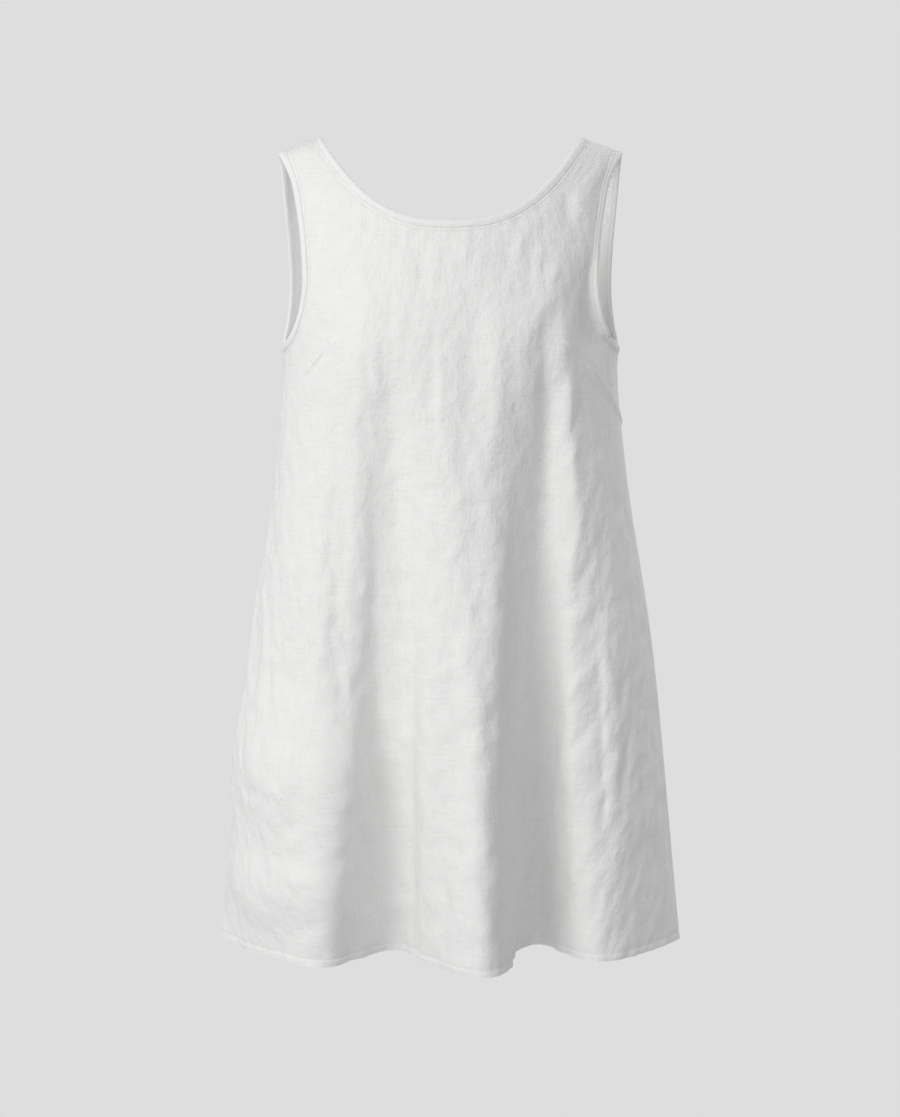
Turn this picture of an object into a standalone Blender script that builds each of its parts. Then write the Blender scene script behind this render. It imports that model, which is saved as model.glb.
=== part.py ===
"""Sleeveless A-line mini dress in white linen, filled out as if it were worn.

Metres, +Z up. The front faces -Y and +X is on the right of someone who looks at the front. The origin lies
midway between the two shoulder straps, at the mean height of their crests, where the shoulders carry the dress.

The body is a surface over two numbers. "share" runs across a half, front or back, from the left side seam (0)
to the right one (1), as a share of the bust line's length. "height" is z. Below the bust each share falls in
a straight line to its place on the hem, so that the hem's folds fade out upwards, as flared cloth hangs.
"""

import bisect
import math
from collections import namedtuple

import bmesh
import bpy
from mathutils import Vector

# Cloth and sewing
WALL = 0.0015
SEAM_GAP = 0.0003
HEM_DEPTH = 0.009
HEM_EXTRA = 0.0012
BINDING_WIDTH = 0.0070
BINDING_CLOTH = 0.0008
BINDING_GAP = 0.0006

# Main heights, from the origin at the shoulders
HEM_HEIGHT = -0.8385
UNDERARM_HEIGHT = -0.2070
HANG_START = -0.1900
STRAP_ROOT_HEIGHT = -0.0480
STRAP_SEAM_HEIGHT = -0.0780
FRONT_NECK_HEIGHT = -0.0816
BACK_NECK_HEIGHT = -0.1060

# Shoulder strap at its crest
CREST_INNER_X = 0.1342
CREST_OUTER_X = 0.1780
CREST_INNER_HEIGHT = 0.0080
CREST_OUTER_HEIGHT = -0.0085
CREST_CROWN = 0.0010
STRAP_ARCH = 1.15

# Neckline: height above its lowest point grows with this power of the distance from the centre
FRONT_NECK_POWER = 2.60
BACK_NECK_POWER = 2.50

# Bust: soft fullness over the darts' tips
BUST_X = 0.090
BUST_HEIGHT = -0.215
BUST_FULLNESS = 0.009
BUST_REACH_X = 0.045
BUST_REACH_HEIGHT = 0.060

# How soon the flare begins below HANG_START, as a share of the hanging length
HANG_EASE = 0.06

# The body's sections, from the straps' roots to the hem
Section = namedtuple("Section", "height half_width front_depth back_depth")
SECTIONS = (
    Section(-0.010, 0.1800, 0.062, 0.062),
    Section(-0.045, 0.1800, 0.084, 0.082),
    Section(-0.085, 0.1790, 0.101, 0.096),
    Section(-0.130, 0.1780, 0.114, 0.104),
    Section(-0.170, 0.1770, 0.122, 0.105),
    Section(-0.207, 0.1752, 0.126, 0.102),
    Section(-0.238, 0.1742, 0.127, 0.099),
    Section(-0.290, 0.1788, 0.127, 0.098),
    Section(-0.369, 0.1888, 0.127, 0.098),
    Section(-0.448, 0.2022, 0.127, 0.098),
    Section(-0.528, 0.2145, 0.127, 0.098),
    Section(-0.635, 0.2260, 0.127, 0.098),
    Section(-0.743, 0.2362, 0.127, 0.098),
    Section(-0.8385, 0.2456, 0.127, 0.098),
)

# The hem seen from below: the ridges and valleys of the flare, from the left side seam to the right one
HemFold = namedtuple("HemFold", "name x y")
FRONT_HEM = (
    HemFold("left side seam", -0.2456, 0.000),
    HemFold("left outer flank", -0.1900, -0.076),
    HemFold("left ridge", -0.1300, -0.120),
    HemFold("left inner flank", -0.0960, -0.086),
    HemFold("left valley", -0.0620, -0.056),
    HemFold("centre left flank", -0.0200, -0.098),
    HemFold("centre ridge", 0.0300, -0.163),
    HemFold("centre shoulder", 0.0565, -0.140),
    HemFold("centre right flank", 0.0645, -0.088),
    HemFold("centre right foot", 0.0715, -0.050),
    HemFold("right valley", 0.0950, -0.036),
    HemFold("right inner flank", 0.1240, -0.070),
    HemFold("right ridge", 0.1600, -0.099),
    HemFold("right outer flank", 0.2060, -0.060),
    HemFold("right side seam", 0.2456, 0.000),
)
BACK_HEM = (
    HemFold("left side seam", -0.2456, 0.000),
    HemFold("left flank", -0.2040, 0.066),
    HemFold("left ridge", -0.1560, 0.108),
    HemFold("left valley", -0.0860, 0.058),
    HemFold("centre ridge", 0.0060, 0.150),
    HemFold("right valley", 0.0980, 0.064),
    HemFold("right ridge", 0.1600, 0.104),
    HemFold("right flank", 0.2060, 0.064),
    HemFold("right side seam", 0.2456, 0.000),
)

# An armhole edge on one half: the section angle where it is narrowest, and where the strap begins
Armhole = namedtuple("Armhole", "narrow_angle top_angle narrow_height top_height bow")
FRONT_ARMHOLE = Armhole(57.6, 63.4, -0.137, -0.045, 0.73)
BACK_ARMHOLE = Armhole(71.8, 76.8, -0.137, -0.045, 1.10)

# Mesh columns across a half, and rows up it. The outermost columns end on the armhole's lower curve
Grid = namedtuple("Grid", "columns under_columns strap_columns skirt_rows chest_rows strap_rows")
FRONT_GRID = Grid(42, 5, 7, 21, 12, 18)
BACK_GRID = Grid(38, 2, 7, 21, 10, 0)
COLUMN_CROWDING = 0.25
ROW_CROWDING = 1.7

SHARE_SAMPLES = 240
SHARP_ANGLE = math.radians(40)

Material = namedtuple("Material", "name colour roughness")
LINEN = Material("white linen", (0.86, 0.86, 0.85, 1.0), 0.85)
BINDING_LINEN = Material("white linen binding", (0.88, 0.88, 0.87, 1.0), 0.80)


def mix(a, b, share):
    return a + (b - a) * share


def section_value(column, height):
    """One column of SECTIONS at any height, through its rows in a smooth curve."""
    rows = SECTIONS
    heights = [-row.height for row in rows]
    values = [getattr(row, column) for row in rows]
    place = min(max(bisect.bisect_right(heights, -height) - 1, 0), len(rows) - 2)

    def slope(k):
        low, high = max(k - 1, 0), min(k + 1, len(rows) - 1)
        return (values[high] - values[low]) / (heights[high] - heights[low])

    step = heights[place + 1] - heights[place]
    t = (-height - heights[place]) / step
    t = min(max(t, 0.0), 1.0)
    return (
        values[place] * (2 * t**3 - 3 * t**2 + 1)
        + slope(place) * step * (t**3 - 2 * t**2 + t)
        + values[place + 1] * (3 * t**2 - 2 * t**3)
        + slope(place + 1) * step * (t**3 - t**2)
    )


def smooth_line(points, steps=24):
    """A dense line through the points, each stretch a Catmull-Rom curve."""
    ends = [points[0] * 2 - points[1], *points, points[-1] * 2 - points[-2]]
    line = []
    for before, start, end, after in zip(ends, ends[1:], ends[2:], ends[3:]):
        leave = (end - before) * 0.5
        arrive = (after - start) * 0.5
        for k in range(steps):
            t = k / steps
            line.append(
                start * (2 * t**3 - 3 * t**2 + 1)
                + leave * (t**3 - 2 * t**2 + t)
                + end * (3 * t**2 - 2 * t**3)
                + arrive * (t**3 - t**2)
            )
    return [*line, points[-1]]


def lengths_along(line):
    """The share of a line's whole length at each of its points."""
    lengths = [0.0]
    for start, end in zip(line, line[1:]):
        lengths.append(lengths[-1] + (end - start).length)
    return [length / lengths[-1] for length in lengths]


def read_along(places, values, place):
    """The value at a place, straight between the listed ones."""
    index = min(max(bisect.bisect_right(places, place) - 1, 0), len(places) - 2)
    t = (place - places[index]) / (places[index + 1] - places[index])
    return mix(values[index], values[index + 1], t)


def hang(height):
    """How far a point has gone from the bust line's shape (0) to the hem's (1)."""
    fallen = max((HANG_START - height) / (HANG_START - HEM_HEIGHT), 0.0)
    return fallen * fallen / (fallen + HANG_EASE) * (1 + HANG_EASE)


def bust_fullness(x, height):
    down = (height - BUST_HEIGHT) / BUST_REACH_HEIGHT
    total = 0.0
    for side in (-1, 1):
        across = (x - side * BUST_X) / BUST_REACH_X
        total += BUST_FULLNESS * math.exp(-across * across - down * down)
    return total


class Half:
    """The front or the back half of the body."""

    def __init__(self, facing, depth_column, hem, armhole, neck_height, neck_power):
        self.facing = facing
        self.depth_column = depth_column
        self.armhole = armhole
        self.neck_height = neck_height
        self.neck_power = neck_power
        width = section_value("half_width", UNDERARM_HEIGHT)
        depth = section_value(depth_column, UNDERARM_HEIGHT)
        self.angles = [mix(-90.0, 90.0, k / SHARE_SAMPLES) for k in range(SHARE_SAMPLES + 1)]
        bust = [self.section(angle, width, depth) for angle in self.angles]
        self.shares = lengths_along(bust)
        self.hem_line = smooth_line([Vector((fold.x, fold.y)) for fold in hem])
        self.hem_shares = lengths_along(self.hem_line)
        self.hem_half_width = section_value("half_width", HEM_HEIGHT)

    def section(self, angle, width, depth):
        turn = math.radians(angle)
        return Vector((width * math.sin(turn), self.facing * depth * math.cos(turn)))

    def angle_at(self, share):
        return read_along(self.shares, self.angles, share)

    def share_at(self, angle):
        return read_along(self.angles, self.shares, angle)

    def share_at_x(self, x, height):
        width = section_value("half_width", height)
        return self.share_at(math.degrees(math.asin(x / width)))

    def point(self, share, height):
        width = section_value("half_width", height)
        depth = section_value(self.depth_column, height)
        body = self.section(self.angle_at(share), width, depth)
        hem = read_along(self.hem_shares, self.hem_line, share)
        fallen = hang(height)
        x = mix(body.x, hem.x * width / self.hem_half_width, fallen)
        y = mix(body.y, hem.y, fallen) + self.facing * SEAM_GAP / 2
        if self.facing < 0:
            y -= bust_fullness(x, height) * math.cos(math.radians(self.angle_at(share)))
        return Vector((x, y, height))

    def armhole_angle(self, height):
        """The section angle of the armhole's edge at a height."""
        edge = self.armhole
        if height >= edge.narrow_height:
            up = (height - edge.narrow_height) / (edge.top_height - edge.narrow_height)
            return mix(edge.narrow_angle, edge.top_angle, up * up)
        up = (height - UNDERARM_HEIGHT) / (edge.narrow_height - UNDERARM_HEIGHT)
        turn = math.acos(1 - up)
        return mix(90.0, edge.narrow_angle, math.sin(turn) ** edge.bow)

    def armhole_height(self, angle):
        """The height of the armhole's lower curve at a section angle."""
        edge = self.armhole
        sine = ((90.0 - angle) / (90.0 - edge.narrow_angle)) ** (1 / edge.bow)
        rise = 1 - math.sqrt(max(1 - sine * sine, 0.0))
        return mix(UNDERARM_HEIGHT, edge.narrow_height, rise)

    def neck_rise(self, x):
        """The neckline's height at x."""
        whole = CREST_INNER_HEIGHT - self.neck_height
        return self.neck_height + whole * (abs(x) / CREST_INNER_X) ** self.neck_power

    def neck_x(self, height):
        """The neckline's distance from the centre at a height."""
        whole = CREST_INNER_HEIGHT - self.neck_height
        return CREST_INNER_X * ((height - self.neck_height) / whole) ** (1 / self.neck_power)


def column_share(place):
    """Where a column lies across a half. Columns are closer together beside the seams, where the body is rounder."""
    return place - COLUMN_CROWDING * math.sin(2 * math.pi * place) / (2 * math.pi)


class Panel:
    """A half laid out on a grid of columns and rows. Keys are (column, row), from the left and from the hem.

    The skirt's rows run the full width. Its top row follows the lower curve of each armhole and crosses the
    chest between them. The chest's rows run between the armholes up to the strap row, which takes each strap's
    root and the neckline between them. The straps' rows go on from there.
    """

    def __init__(self, half, grid, strap_height):
        self.half = half
        self.grid = grid
        self.strap_height = strap_height
        self.under = grid.under_columns
        self.inner = grid.under_columns + grid.strap_columns
        self.last = grid.columns
        self.chest_row = grid.skirt_rows
        self.strap_row = grid.skirt_rows + grid.chest_rows
        self.top_row = self.strap_row + grid.strap_rows
        self.points = {}
        self.place_skirt()
        self.place_chest()

    def mirrored(self, column):
        return self.last - column

    def share(self, column):
        return column_share(column / self.last)

    def skirt_top(self, column):
        """The height at which a column meets the skirt's top row."""
        near = min(column, self.mirrored(column), self.under)
        return self.half.armhole_height(-self.half.angle_at(self.share(near)))

    def place_skirt(self):
        rows = [0.0, HEM_DEPTH, HEM_DEPTH + HEM_EXTRA]
        for column in range(self.last + 1):
            top = self.skirt_top(column)
            first = HEM_HEIGHT + rows[-1]
            count = self.chest_row - len(rows) + 1
            heights = [HEM_HEIGHT + rise for rise in rows]
            # The rows are closer together towards the armholes.
            rises = [1 - (1 - k / count) ** ROW_CROWDING for k in range(1, count + 1)]
            heights += [mix(first, top, rise) for rise in rises]
            for row, height in enumerate(heights):
                self.points[column, row] = self.half.point(self.share(column), height)

    def strap_root(self, across):
        """(share, height) on the strap row, from the neckline's edge (0) to the armhole's (1)."""
        inner_x = self.half.neck_x(self.strap_height)
        inner = self.half.share_at_x(-inner_x, self.strap_height)
        outer = self.half.share_at(-self.half.armhole_angle(self.strap_height))
        return mix(inner, outer, across), self.strap_height

    def top_edge(self, column):
        """(share, height) where a column meets the strap row."""
        near = min(column, self.mirrored(column))
        if near <= self.inner:
            across = (self.inner - near) / self.grid.strap_columns
            share, height = self.strap_root(across)
            return (share if near == column else 1 - share), height
        root_x = self.half.neck_x(self.strap_height)
        along = (column - self.inner) / (self.last - 2 * self.inner)
        x = mix(-root_x, root_x, along)
        height = self.half.neck_rise(x)
        return self.half.share_at_x(x, height), height

    def place_chest(self):
        """Columns and rows blended from the chest row, the two armholes and the strap row."""
        low = self.skirt_top(self.under)
        first, final = self.under, self.last - self.under
        for row in range(self.chest_row + 1, self.strap_row + 1):
            up = (row - self.chest_row) / self.grid.chest_rows
            edge_height = mix(low, self.strap_height, up)
            edge_share = self.half.share_at(-self.half.armhole_angle(edge_height))
            root_share = self.top_edge(first)[0]
            for column in range(first, final + 1):
                across = (column - first) / (final - first)
                top_share, top_height = self.top_edge(column)
                share = (
                    mix(self.share(column), top_share, up)
                    + mix(edge_share, 1 - edge_share, across)
                    - mix(
                        mix(self.share(first), self.share(final), across),
                        mix(root_share, 1 - root_share, across),
                        up,
                    )
                )
                height = mix(low, top_height, up)
                self.points[column, row] = self.half.point(share, height)

    def quads(self):
        for column, row in self.points:
            corners = [(column, row), (column + 1, row), (column + 1, row + 1), (column, row + 1)]
            if all(key in self.points for key in corners):
                yield corners


def boundary_tangent(place, height, rise=0.002):
    """The direction of an edge at a height, from a function that gives its point."""
    return (place(height + rise) - place(height)).normalized()


def add_straps(front, back):
    """Takes each strap from the front's strap row over the shoulder's crest to the seam on the back."""
    half, rear = front.half, back.half
    signs = ((-1, front.under, front.inner), (1, front.last - front.under, front.last - front.inner))

    def neck_edge(owner, height):
        x = owner.neck_x(height)
        return owner.point(owner.share_at_x(-x, height), height)

    def arm_edge(owner, height):
        return owner.point(owner.share_at(-owner.armhole_angle(height)), height)

    rise_inner = boundary_tangent(lambda z: neck_edge(half, z), STRAP_ROOT_HEIGHT)
    rise_outer = boundary_tangent(lambda z: arm_edge(half, z), STRAP_ROOT_HEIGHT)
    fall_inner = -boundary_tangent(lambda z: neck_edge(rear, z), STRAP_SEAM_HEIGHT)
    fall_outer = -boundary_tangent(lambda z: arm_edge(rear, z), STRAP_SEAM_HEIGHT)
    over = Vector((0.0, 1.0, 0.0))
    for sign, outer_column, inner_column in signs:
        step = 1 if inner_column > outer_column else -1
        for column in range(outer_column, inner_column + step, step):
            across = abs(inner_column - column) / front.grid.strap_columns
            root = front.points[column, front.strap_row]
            crest = Vector((
                sign * mix(CREST_INNER_X, CREST_OUTER_X, across),
                0.0,
                mix(CREST_INNER_HEIGHT, CREST_OUTER_HEIGHT, across)
                + CREST_CROWN * 4 * across * (1 - across),
            ))
            end_share, end_height = back.strap_root(across)
            end = rear.point(end_share, end_height)
            end.x *= -sign
            end.z += SEAM_GAP
            leave = mix(rise_inner, rise_outer, across).normalized()
            arrive = mix(fall_inner, fall_outer, across).normalized()
            leave.x *= -sign
            arrive.x *= -sign
            path = hermite(root, leave, crest, over) + hermite(crest, over, end, arrive)[1:]
            places = lengths_along(path)
            for row in range(1, front.grid.strap_rows + 1):
                place = row / front.grid.strap_rows
                front.points[column, front.strap_row + row] = read_along(places, path, place)


def hermite(start, leave, end, arrive, steps=32):
    """A smooth path that leaves and arrives in the given directions."""
    pull = (end - start).length * STRAP_ARCH
    path = []
    for k in range(steps + 1):
        t = k / steps
        path.append(
            start * (2 * t**3 - 3 * t**2 + 1)
            + leave * pull * (t**3 - 2 * t**2 + t)
            + end * (3 * t**2 - 2 * t**3)
            + arrive * pull * (t**3 - t**2)
        )
    return path


def finish_material(kind):
    made = bpy.data.materials.new(kind.name)
    made.use_nodes = True
    made.diffuse_color = kind.colour
    shader = made.node_tree.nodes["Principled BSDF"]
    shader.inputs["Base Color"].default_value = kind.colour
    shader.inputs["Roughness"].default_value = kind.roughness
    shader.inputs["Metallic"].default_value = 0.0
    return made


def add_object(name, bm, material):
    """A closed mesh as its own object, with its faces turned outwards."""
    bmesh.ops.recalc_face_normals(bm, faces=bm.faces)
    mesh = bpy.data.meshes.new(name)
    bm.to_mesh(mesh)
    bm.free()
    mesh.shade_smooth()
    mesh.set_sharp_from_angle(angle=SHARP_ANGLE)
    mesh.materials.append(material)
    made = bpy.data.objects.new(name, mesh)
    bpy.context.scene.collection.objects.link(made)
    return made


def outward_normals(panel):
    """The panel's normal at each key, pointing away from the wearer."""
    bm = bmesh.new()
    verts = {key: bm.verts.new(point) for key, point in panel.points.items()}
    for corners in panel.quads():
        bm.faces.new([verts[key] for key in corners])
    bm.normal_update()
    # The front's quads turn with X to the right seen from -Y, so the back's face the other way.
    sign = -panel.half.facing
    return {key: vert.normal * sign for key, vert in verts.items()}


def seam_pairs(front, back):
    """The keys of the front and of the back that meet at the side seams and at the straps' seams."""
    for row in range(front.chest_row + 1):
        yield (0, row), (0, row)
        yield (front.last, row), (back.last, row)
    for across in range(front.grid.strap_columns + 1):
        ahead, behind = front.under + across, back.under + across
        yield (ahead, front.top_row), (behind, back.strap_row)
        yield (front.mirrored(ahead), front.top_row), (back.mirrored(behind), back.strap_row)


def share_seam_normals(front, back):
    """Mitres the two walls where they meet, so that neither runs into the other."""
    for ahead, behind in seam_pairs(front, back):
        shared = (front.normals[ahead] + back.normals[behind]).normalized()
        front.normals[ahead] = shared
        back.normals[behind] = shared.copy()


def add_wall(name, panel, material):
    """The panel's cloth: two faces set half the wall to each side, closed along every edge."""
    bm = bmesh.new()
    outer, inner = {}, {}
    for key, point in panel.points.items():
        # The two lowest rows bound the turned-up hem, which lies inside.
        turned_up = HEM_EXTRA if key[1] <= 1 else 0.0
        normal = panel.normals[key]
        outer[key] = bm.verts.new(point + normal * WALL / 2)
        inner[key] = bm.verts.new(point - normal * (WALL / 2 + turned_up))
    for corners in panel.quads():
        bm.faces.new([outer[key] for key in corners])
        bm.faces.new([inner[key] for key in reversed(corners)])
    partner = {vert: inner[key] for key, vert in outer.items()}
    for edge in [edge for edge in bm.edges if edge.is_boundary and edge.verts[0] in partner]:
        a, b = edge.verts
        bm.faces.new([a, b, partner[b], partner[a]])
    return add_object(name, bm, material)


def inward_path(panel, key, step, count=4):
    """The cloth's points and normals from an edge key inwards."""
    keys = [(key[0] + step[0] * k, key[1] + step[1] * k) for k in range(count)]
    keys = [k for k in keys if k in panel.points]
    return [(panel.points[k], panel.normals[k]) for k in keys]


def on_path(path, distance):
    """The point and the normal at a distance along a path, or straight on past its end."""
    for (start, start_normal), (end, end_normal) in zip(path, path[1:]):
        length = (end - start).length
        if distance <= length or end is path[-1][0]:
            t = distance / length
            return mix(start, end, t), mix(start_normal, end_normal, t).normalized()
        distance -= length
    raise ValueError("the path has one point only")


def armhole_rungs(front, back, left):
    """Each point of an armhole's edge, as the path that leads from it into the cloth, in order round the edge."""

    def rungs(panel):
        side = 1 if left else -1

        def key(column, row):
            return (column if left else panel.mirrored(column), row)

        found = []
        for column in range(panel.under):
            found.append(inward_path(panel, key(column, panel.chest_row), (0, -1)))
        found.append(inward_path(panel, key(panel.under, panel.chest_row), (side, -1)))
        for row in range(panel.chest_row + 1, panel.top_row + 1):
            found.append(inward_path(panel, key(panel.under, row), (side, 0)))
        return found

    # The two halves meet at the underarm and at the strap's seam, where one point serves both.
    return rungs(front) + rungs(back)[-2:0:-1]


def neck_rungs(front, back):
    """Each point of the neck's edge, from the left strap's seam by way of the front and round the back."""

    def strap(side):
        column = front.inner if side > 0 else front.mirrored(front.inner)
        rows = range(front.strap_row + 1, front.top_row + 1)
        return [inward_path(front, (column, row), (-side, 0)) for row in rows]

    found = strap(1)[::-1]
    found.append(inward_path(front, (front.inner, front.strap_row), (-1, -1)))
    for column in range(front.inner + 1, front.mirrored(front.inner)):
        found.append(inward_path(front, (column, front.strap_row), (0, -1)))
    found.append(inward_path(front, (front.mirrored(front.inner), front.strap_row), (1, -1)))
    found += strap(-1)
    for column in range(back.mirrored(back.inner) - 1, back.inner, -1):
        found.append(inward_path(back, (column, back.strap_row), (0, -1)))
    return found


def binding_profile():
    """The binding's section as (distance into the cloth, height above its middle).

    It is a strip folded over the edge, with its fold rounded off through two shoulders.
    """
    near = WALL / 2 + BINDING_GAP
    far = near + BINDING_CLOTH
    fold = SEAM_GAP + BINDING_CLOTH
    return (
        (BINDING_WIDTH, near),
        (BINDING_WIDTH, far),
        (-fold * 0.4, far * 0.92),
        (-fold, 0.0),
        (-fold * 0.4, -far * 0.92),
        (BINDING_WIDTH, -far),
        (BINDING_WIDTH, -near),
        (-SEAM_GAP, -near),
        (-SEAM_GAP, near),
    )


def add_binding(name, rungs, material):
    """A closed ring of binding over an edge, made from the points of the cloth that it covers."""
    bm = bmesh.new()
    rings = []
    for place, rung in enumerate(rungs):
        edge, edge_normal = rung[0]
        along = (rungs[(place + 1) % len(rungs)][0][0] - rungs[place - 1][0][0]).normalized()
        inward = (rung[1][0] - edge).normalized()
        square = math.sqrt(max(1 - inward.dot(along) ** 2, 0.0))
        outward = along.cross(edge_normal).normalized()
        if outward.dot(inward) > 0:
            outward = -outward
        ring = []
        for depth, lift in binding_profile():
            if depth > 0:
                point, normal = on_path(rung, depth / square)
            else:
                point, normal = edge - outward * depth, edge_normal
            ring.append(bm.verts.new(point + normal * lift))
        rings.append(ring)
    for place, ring in enumerate(rings):
        following = rings[(place + 1) % len(rings)]
        for k in range(len(ring)):
            after = (k + 1) % len(ring)
            bm.faces.new([ring[k], ring[after], following[after], following[k]])
    return add_object(name, bm, material)


def clear_scene():
    for old in list(bpy.data.objects):
        bpy.data.objects.remove(old, do_unlink=True)


def main():
    clear_scene()
    linen = finish_material(LINEN)
    edging = finish_material(BINDING_LINEN)
    front_half = Half(
        -1, "front_depth", FRONT_HEM, FRONT_ARMHOLE, FRONT_NECK_HEIGHT, FRONT_NECK_POWER
    )
    back_half = Half(1, "back_depth", BACK_HEM, BACK_ARMHOLE, BACK_NECK_HEIGHT, BACK_NECK_POWER)
    front = Panel(front_half, FRONT_GRID, STRAP_ROOT_HEIGHT)
    back = Panel(back_half, BACK_GRID, STRAP_SEAM_HEIGHT)
    add_straps(front, back)
    for panel in (front, back):
        panel.normals = outward_normals(panel)
    share_seam_normals(front, back)
    add_wall("front_panel", front, linen)
    add_wall("back_panel", back, linen)
    add_binding("neck_binding", neck_rungs(front, back), edging)
    add_binding("left_armhole_binding", armhole_rungs(front, back, True), edging)
    add_binding("right_armhole_binding", armhole_rungs(front, back, False), edging)


main()
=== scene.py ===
import bisect
import math
from collections import namedtuple

import bpy
import numpy as np
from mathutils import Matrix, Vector, noise
from mathutils.bvhtree import BVHTree


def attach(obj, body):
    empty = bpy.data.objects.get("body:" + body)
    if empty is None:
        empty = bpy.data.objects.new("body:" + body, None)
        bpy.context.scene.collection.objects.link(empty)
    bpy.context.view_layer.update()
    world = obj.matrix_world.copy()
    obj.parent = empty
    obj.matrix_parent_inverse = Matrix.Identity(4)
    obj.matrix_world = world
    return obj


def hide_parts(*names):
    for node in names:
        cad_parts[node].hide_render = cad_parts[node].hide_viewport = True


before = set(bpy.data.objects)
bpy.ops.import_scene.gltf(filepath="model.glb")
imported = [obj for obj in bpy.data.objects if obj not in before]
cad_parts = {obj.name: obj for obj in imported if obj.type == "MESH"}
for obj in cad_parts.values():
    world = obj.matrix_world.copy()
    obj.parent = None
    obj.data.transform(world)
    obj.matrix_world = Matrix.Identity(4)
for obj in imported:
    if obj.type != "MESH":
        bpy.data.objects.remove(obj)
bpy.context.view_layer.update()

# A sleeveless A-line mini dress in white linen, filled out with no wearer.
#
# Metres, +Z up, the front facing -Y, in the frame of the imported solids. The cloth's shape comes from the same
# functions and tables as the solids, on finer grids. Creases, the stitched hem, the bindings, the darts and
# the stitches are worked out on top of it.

# Cloth and sewing
CLOTH = 0.0007
HEM_DEPTH = 0.0090
HEM_STITCH_HEIGHT = 0.0078
HEM_EXTRA = 0.0009
SEAM_GROOVE = 0.0008
BINDING_WIDTH = 0.0070
BINDING_GAP = 0.0001
STITCH_PITCH = 0.0029
STITCH_LENGTH = 0.0023
STITCH_RADIUS = 0.00022
STITCH_RING = 6
EDGE_STITCH = 0.0058
SECOND_STITCH = 0.0106
# How high the binding's upper face is over the cloth's, where its stitches lie
STITCHED_HEIGHT = 0.0006
# Along a stitch: share of its length, share of its radius, and how far it stands out of the cloth
STITCH_BOWS = (
    (-0.50, 0.55, -0.6),
    (-0.34, 0.95, 0.2),
    (0.0, 1.0, 0.55),
    (0.34, 0.95, 0.2),
    (0.50, 0.55, -0.6),
)

# The binding's outline from its tucked edge to its fold: depth into the cloth, and height over its bed
BINDING_OUTLINE = (
    (BINDING_WIDTH + 0.0001, 0.0),
    (BINDING_WIDTH + 0.0003, 0.0004),
    (BINDING_WIDTH, 0.0008),
    (EDGE_STITCH + 0.0004, 0.0007),
    (EDGE_STITCH - 0.0003, 0.0007),
    (0.0046, 0.0011),
    (0.0030, 0.0013),
    (0.0014, 0.0012),
    (0.0002, 0.0009),
    (-0.0006, 0.0003),
)
BINDING_FOLD = -0.0009
# How far its hollow reaches past the cloth's edge
BINDING_HOLLOW = -0.0002
# The binding swells and sways a little along its length, and its stitches pull it in
BINDING_SWELL = 0.16
BINDING_SWELL_LENGTH = 0.0042
BINDING_SWAY = 0.0003
BINDING_SWAY_LENGTH = 0.024
BINDING_PULL = 0.00025
BINDING_PULL_REACH = 0.0005
# Step of the points along a bound edge, how often they are smoothed, and how far in the cloth is looked for
LOOP_STEP = 0.0022
LOOP_SMOOTHING = 3
PROBE_DEPTH = 0.01

# The turned-up hem's rows above its fold, up to its stitches and its upper edge
HEM_ROWS = (0.0, 0.0012, 0.0030, 0.0052, 0.0068, HEM_STITCH_HEIGHT, HEM_DEPTH, HEM_DEPTH + HEM_EXTRA)
# It is full below its stitches, pulled in along them, and puckered round them
HEM_FULLNESS = 0.0004
HEM_FULL_HEIGHT = 0.0036
HEM_FULL_WIDTH = 0.0028
HEM_GROOVE = 0.0005
HEM_GROOVE_WIDTH = 0.0014
HEM_PUCKER = 0.0004
HEM_PUCKER_LENGTH = 0.0065
HEM_PUCKER_WIDTH = 0.006
HEM_PUCKER_TOP = 0.03

# Main heights, from the origin at the shoulders
HEM_HEIGHT = -0.8385
UNDERARM_HEIGHT = -0.2070
HANG_START = -0.1900
STRAP_ROOT_HEIGHT = -0.0480
STRAP_SEAM_HEIGHT = -0.0780
FRONT_NECK_HEIGHT = -0.0816
BACK_NECK_HEIGHT = -0.1060

# Shoulder strap at its crest
CREST_INNER_X = 0.1342
CREST_OUTER_X = 0.1780
CREST_INNER_HEIGHT = 0.0080
CREST_OUTER_HEIGHT = -0.0085
CREST_CROWN = 0.0010
STRAP_ARCH = 1.15

# Neckline: height above its lowest point grows with this power of the distance from the centre
FRONT_NECK_POWER = 2.60
BACK_NECK_POWER = 2.50

# Bust: soft fullness over the darts' tips
BUST_X = 0.090
BUST_HEIGHT = -0.215
BUST_FULLNESS = 0.009
BUST_REACH_X = 0.045
BUST_REACH_HEIGHT = 0.060

# How soon the flare begins below HANG_START, as a share of the hanging length
HANG_EASE = 0.06

# The body's sections, from the straps' roots to the hem
Section = namedtuple("Section", "height half_width front_depth back_depth")
SECTIONS = (
    Section(-0.010, 0.1800, 0.062, 0.062),
    Section(-0.045, 0.1800, 0.084, 0.082),
    Section(-0.085, 0.1790, 0.101, 0.096),
    Section(-0.130, 0.1780, 0.114, 0.104),
    Section(-0.170, 0.1770, 0.122, 0.105),
    Section(-0.207, 0.1752, 0.126, 0.102),
    Section(-0.238, 0.1742, 0.127, 0.099),
    Section(-0.290, 0.1788, 0.127, 0.098),
    Section(-0.369, 0.1888, 0.127, 0.098),
    Section(-0.448, 0.2022, 0.127, 0.098),
    Section(-0.528, 0.2145, 0.127, 0.098),
    Section(-0.635, 0.2260, 0.127, 0.098),
    Section(-0.743, 0.2362, 0.127, 0.098),
    Section(-0.8385, 0.2456, 0.127, 0.098),
)

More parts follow.
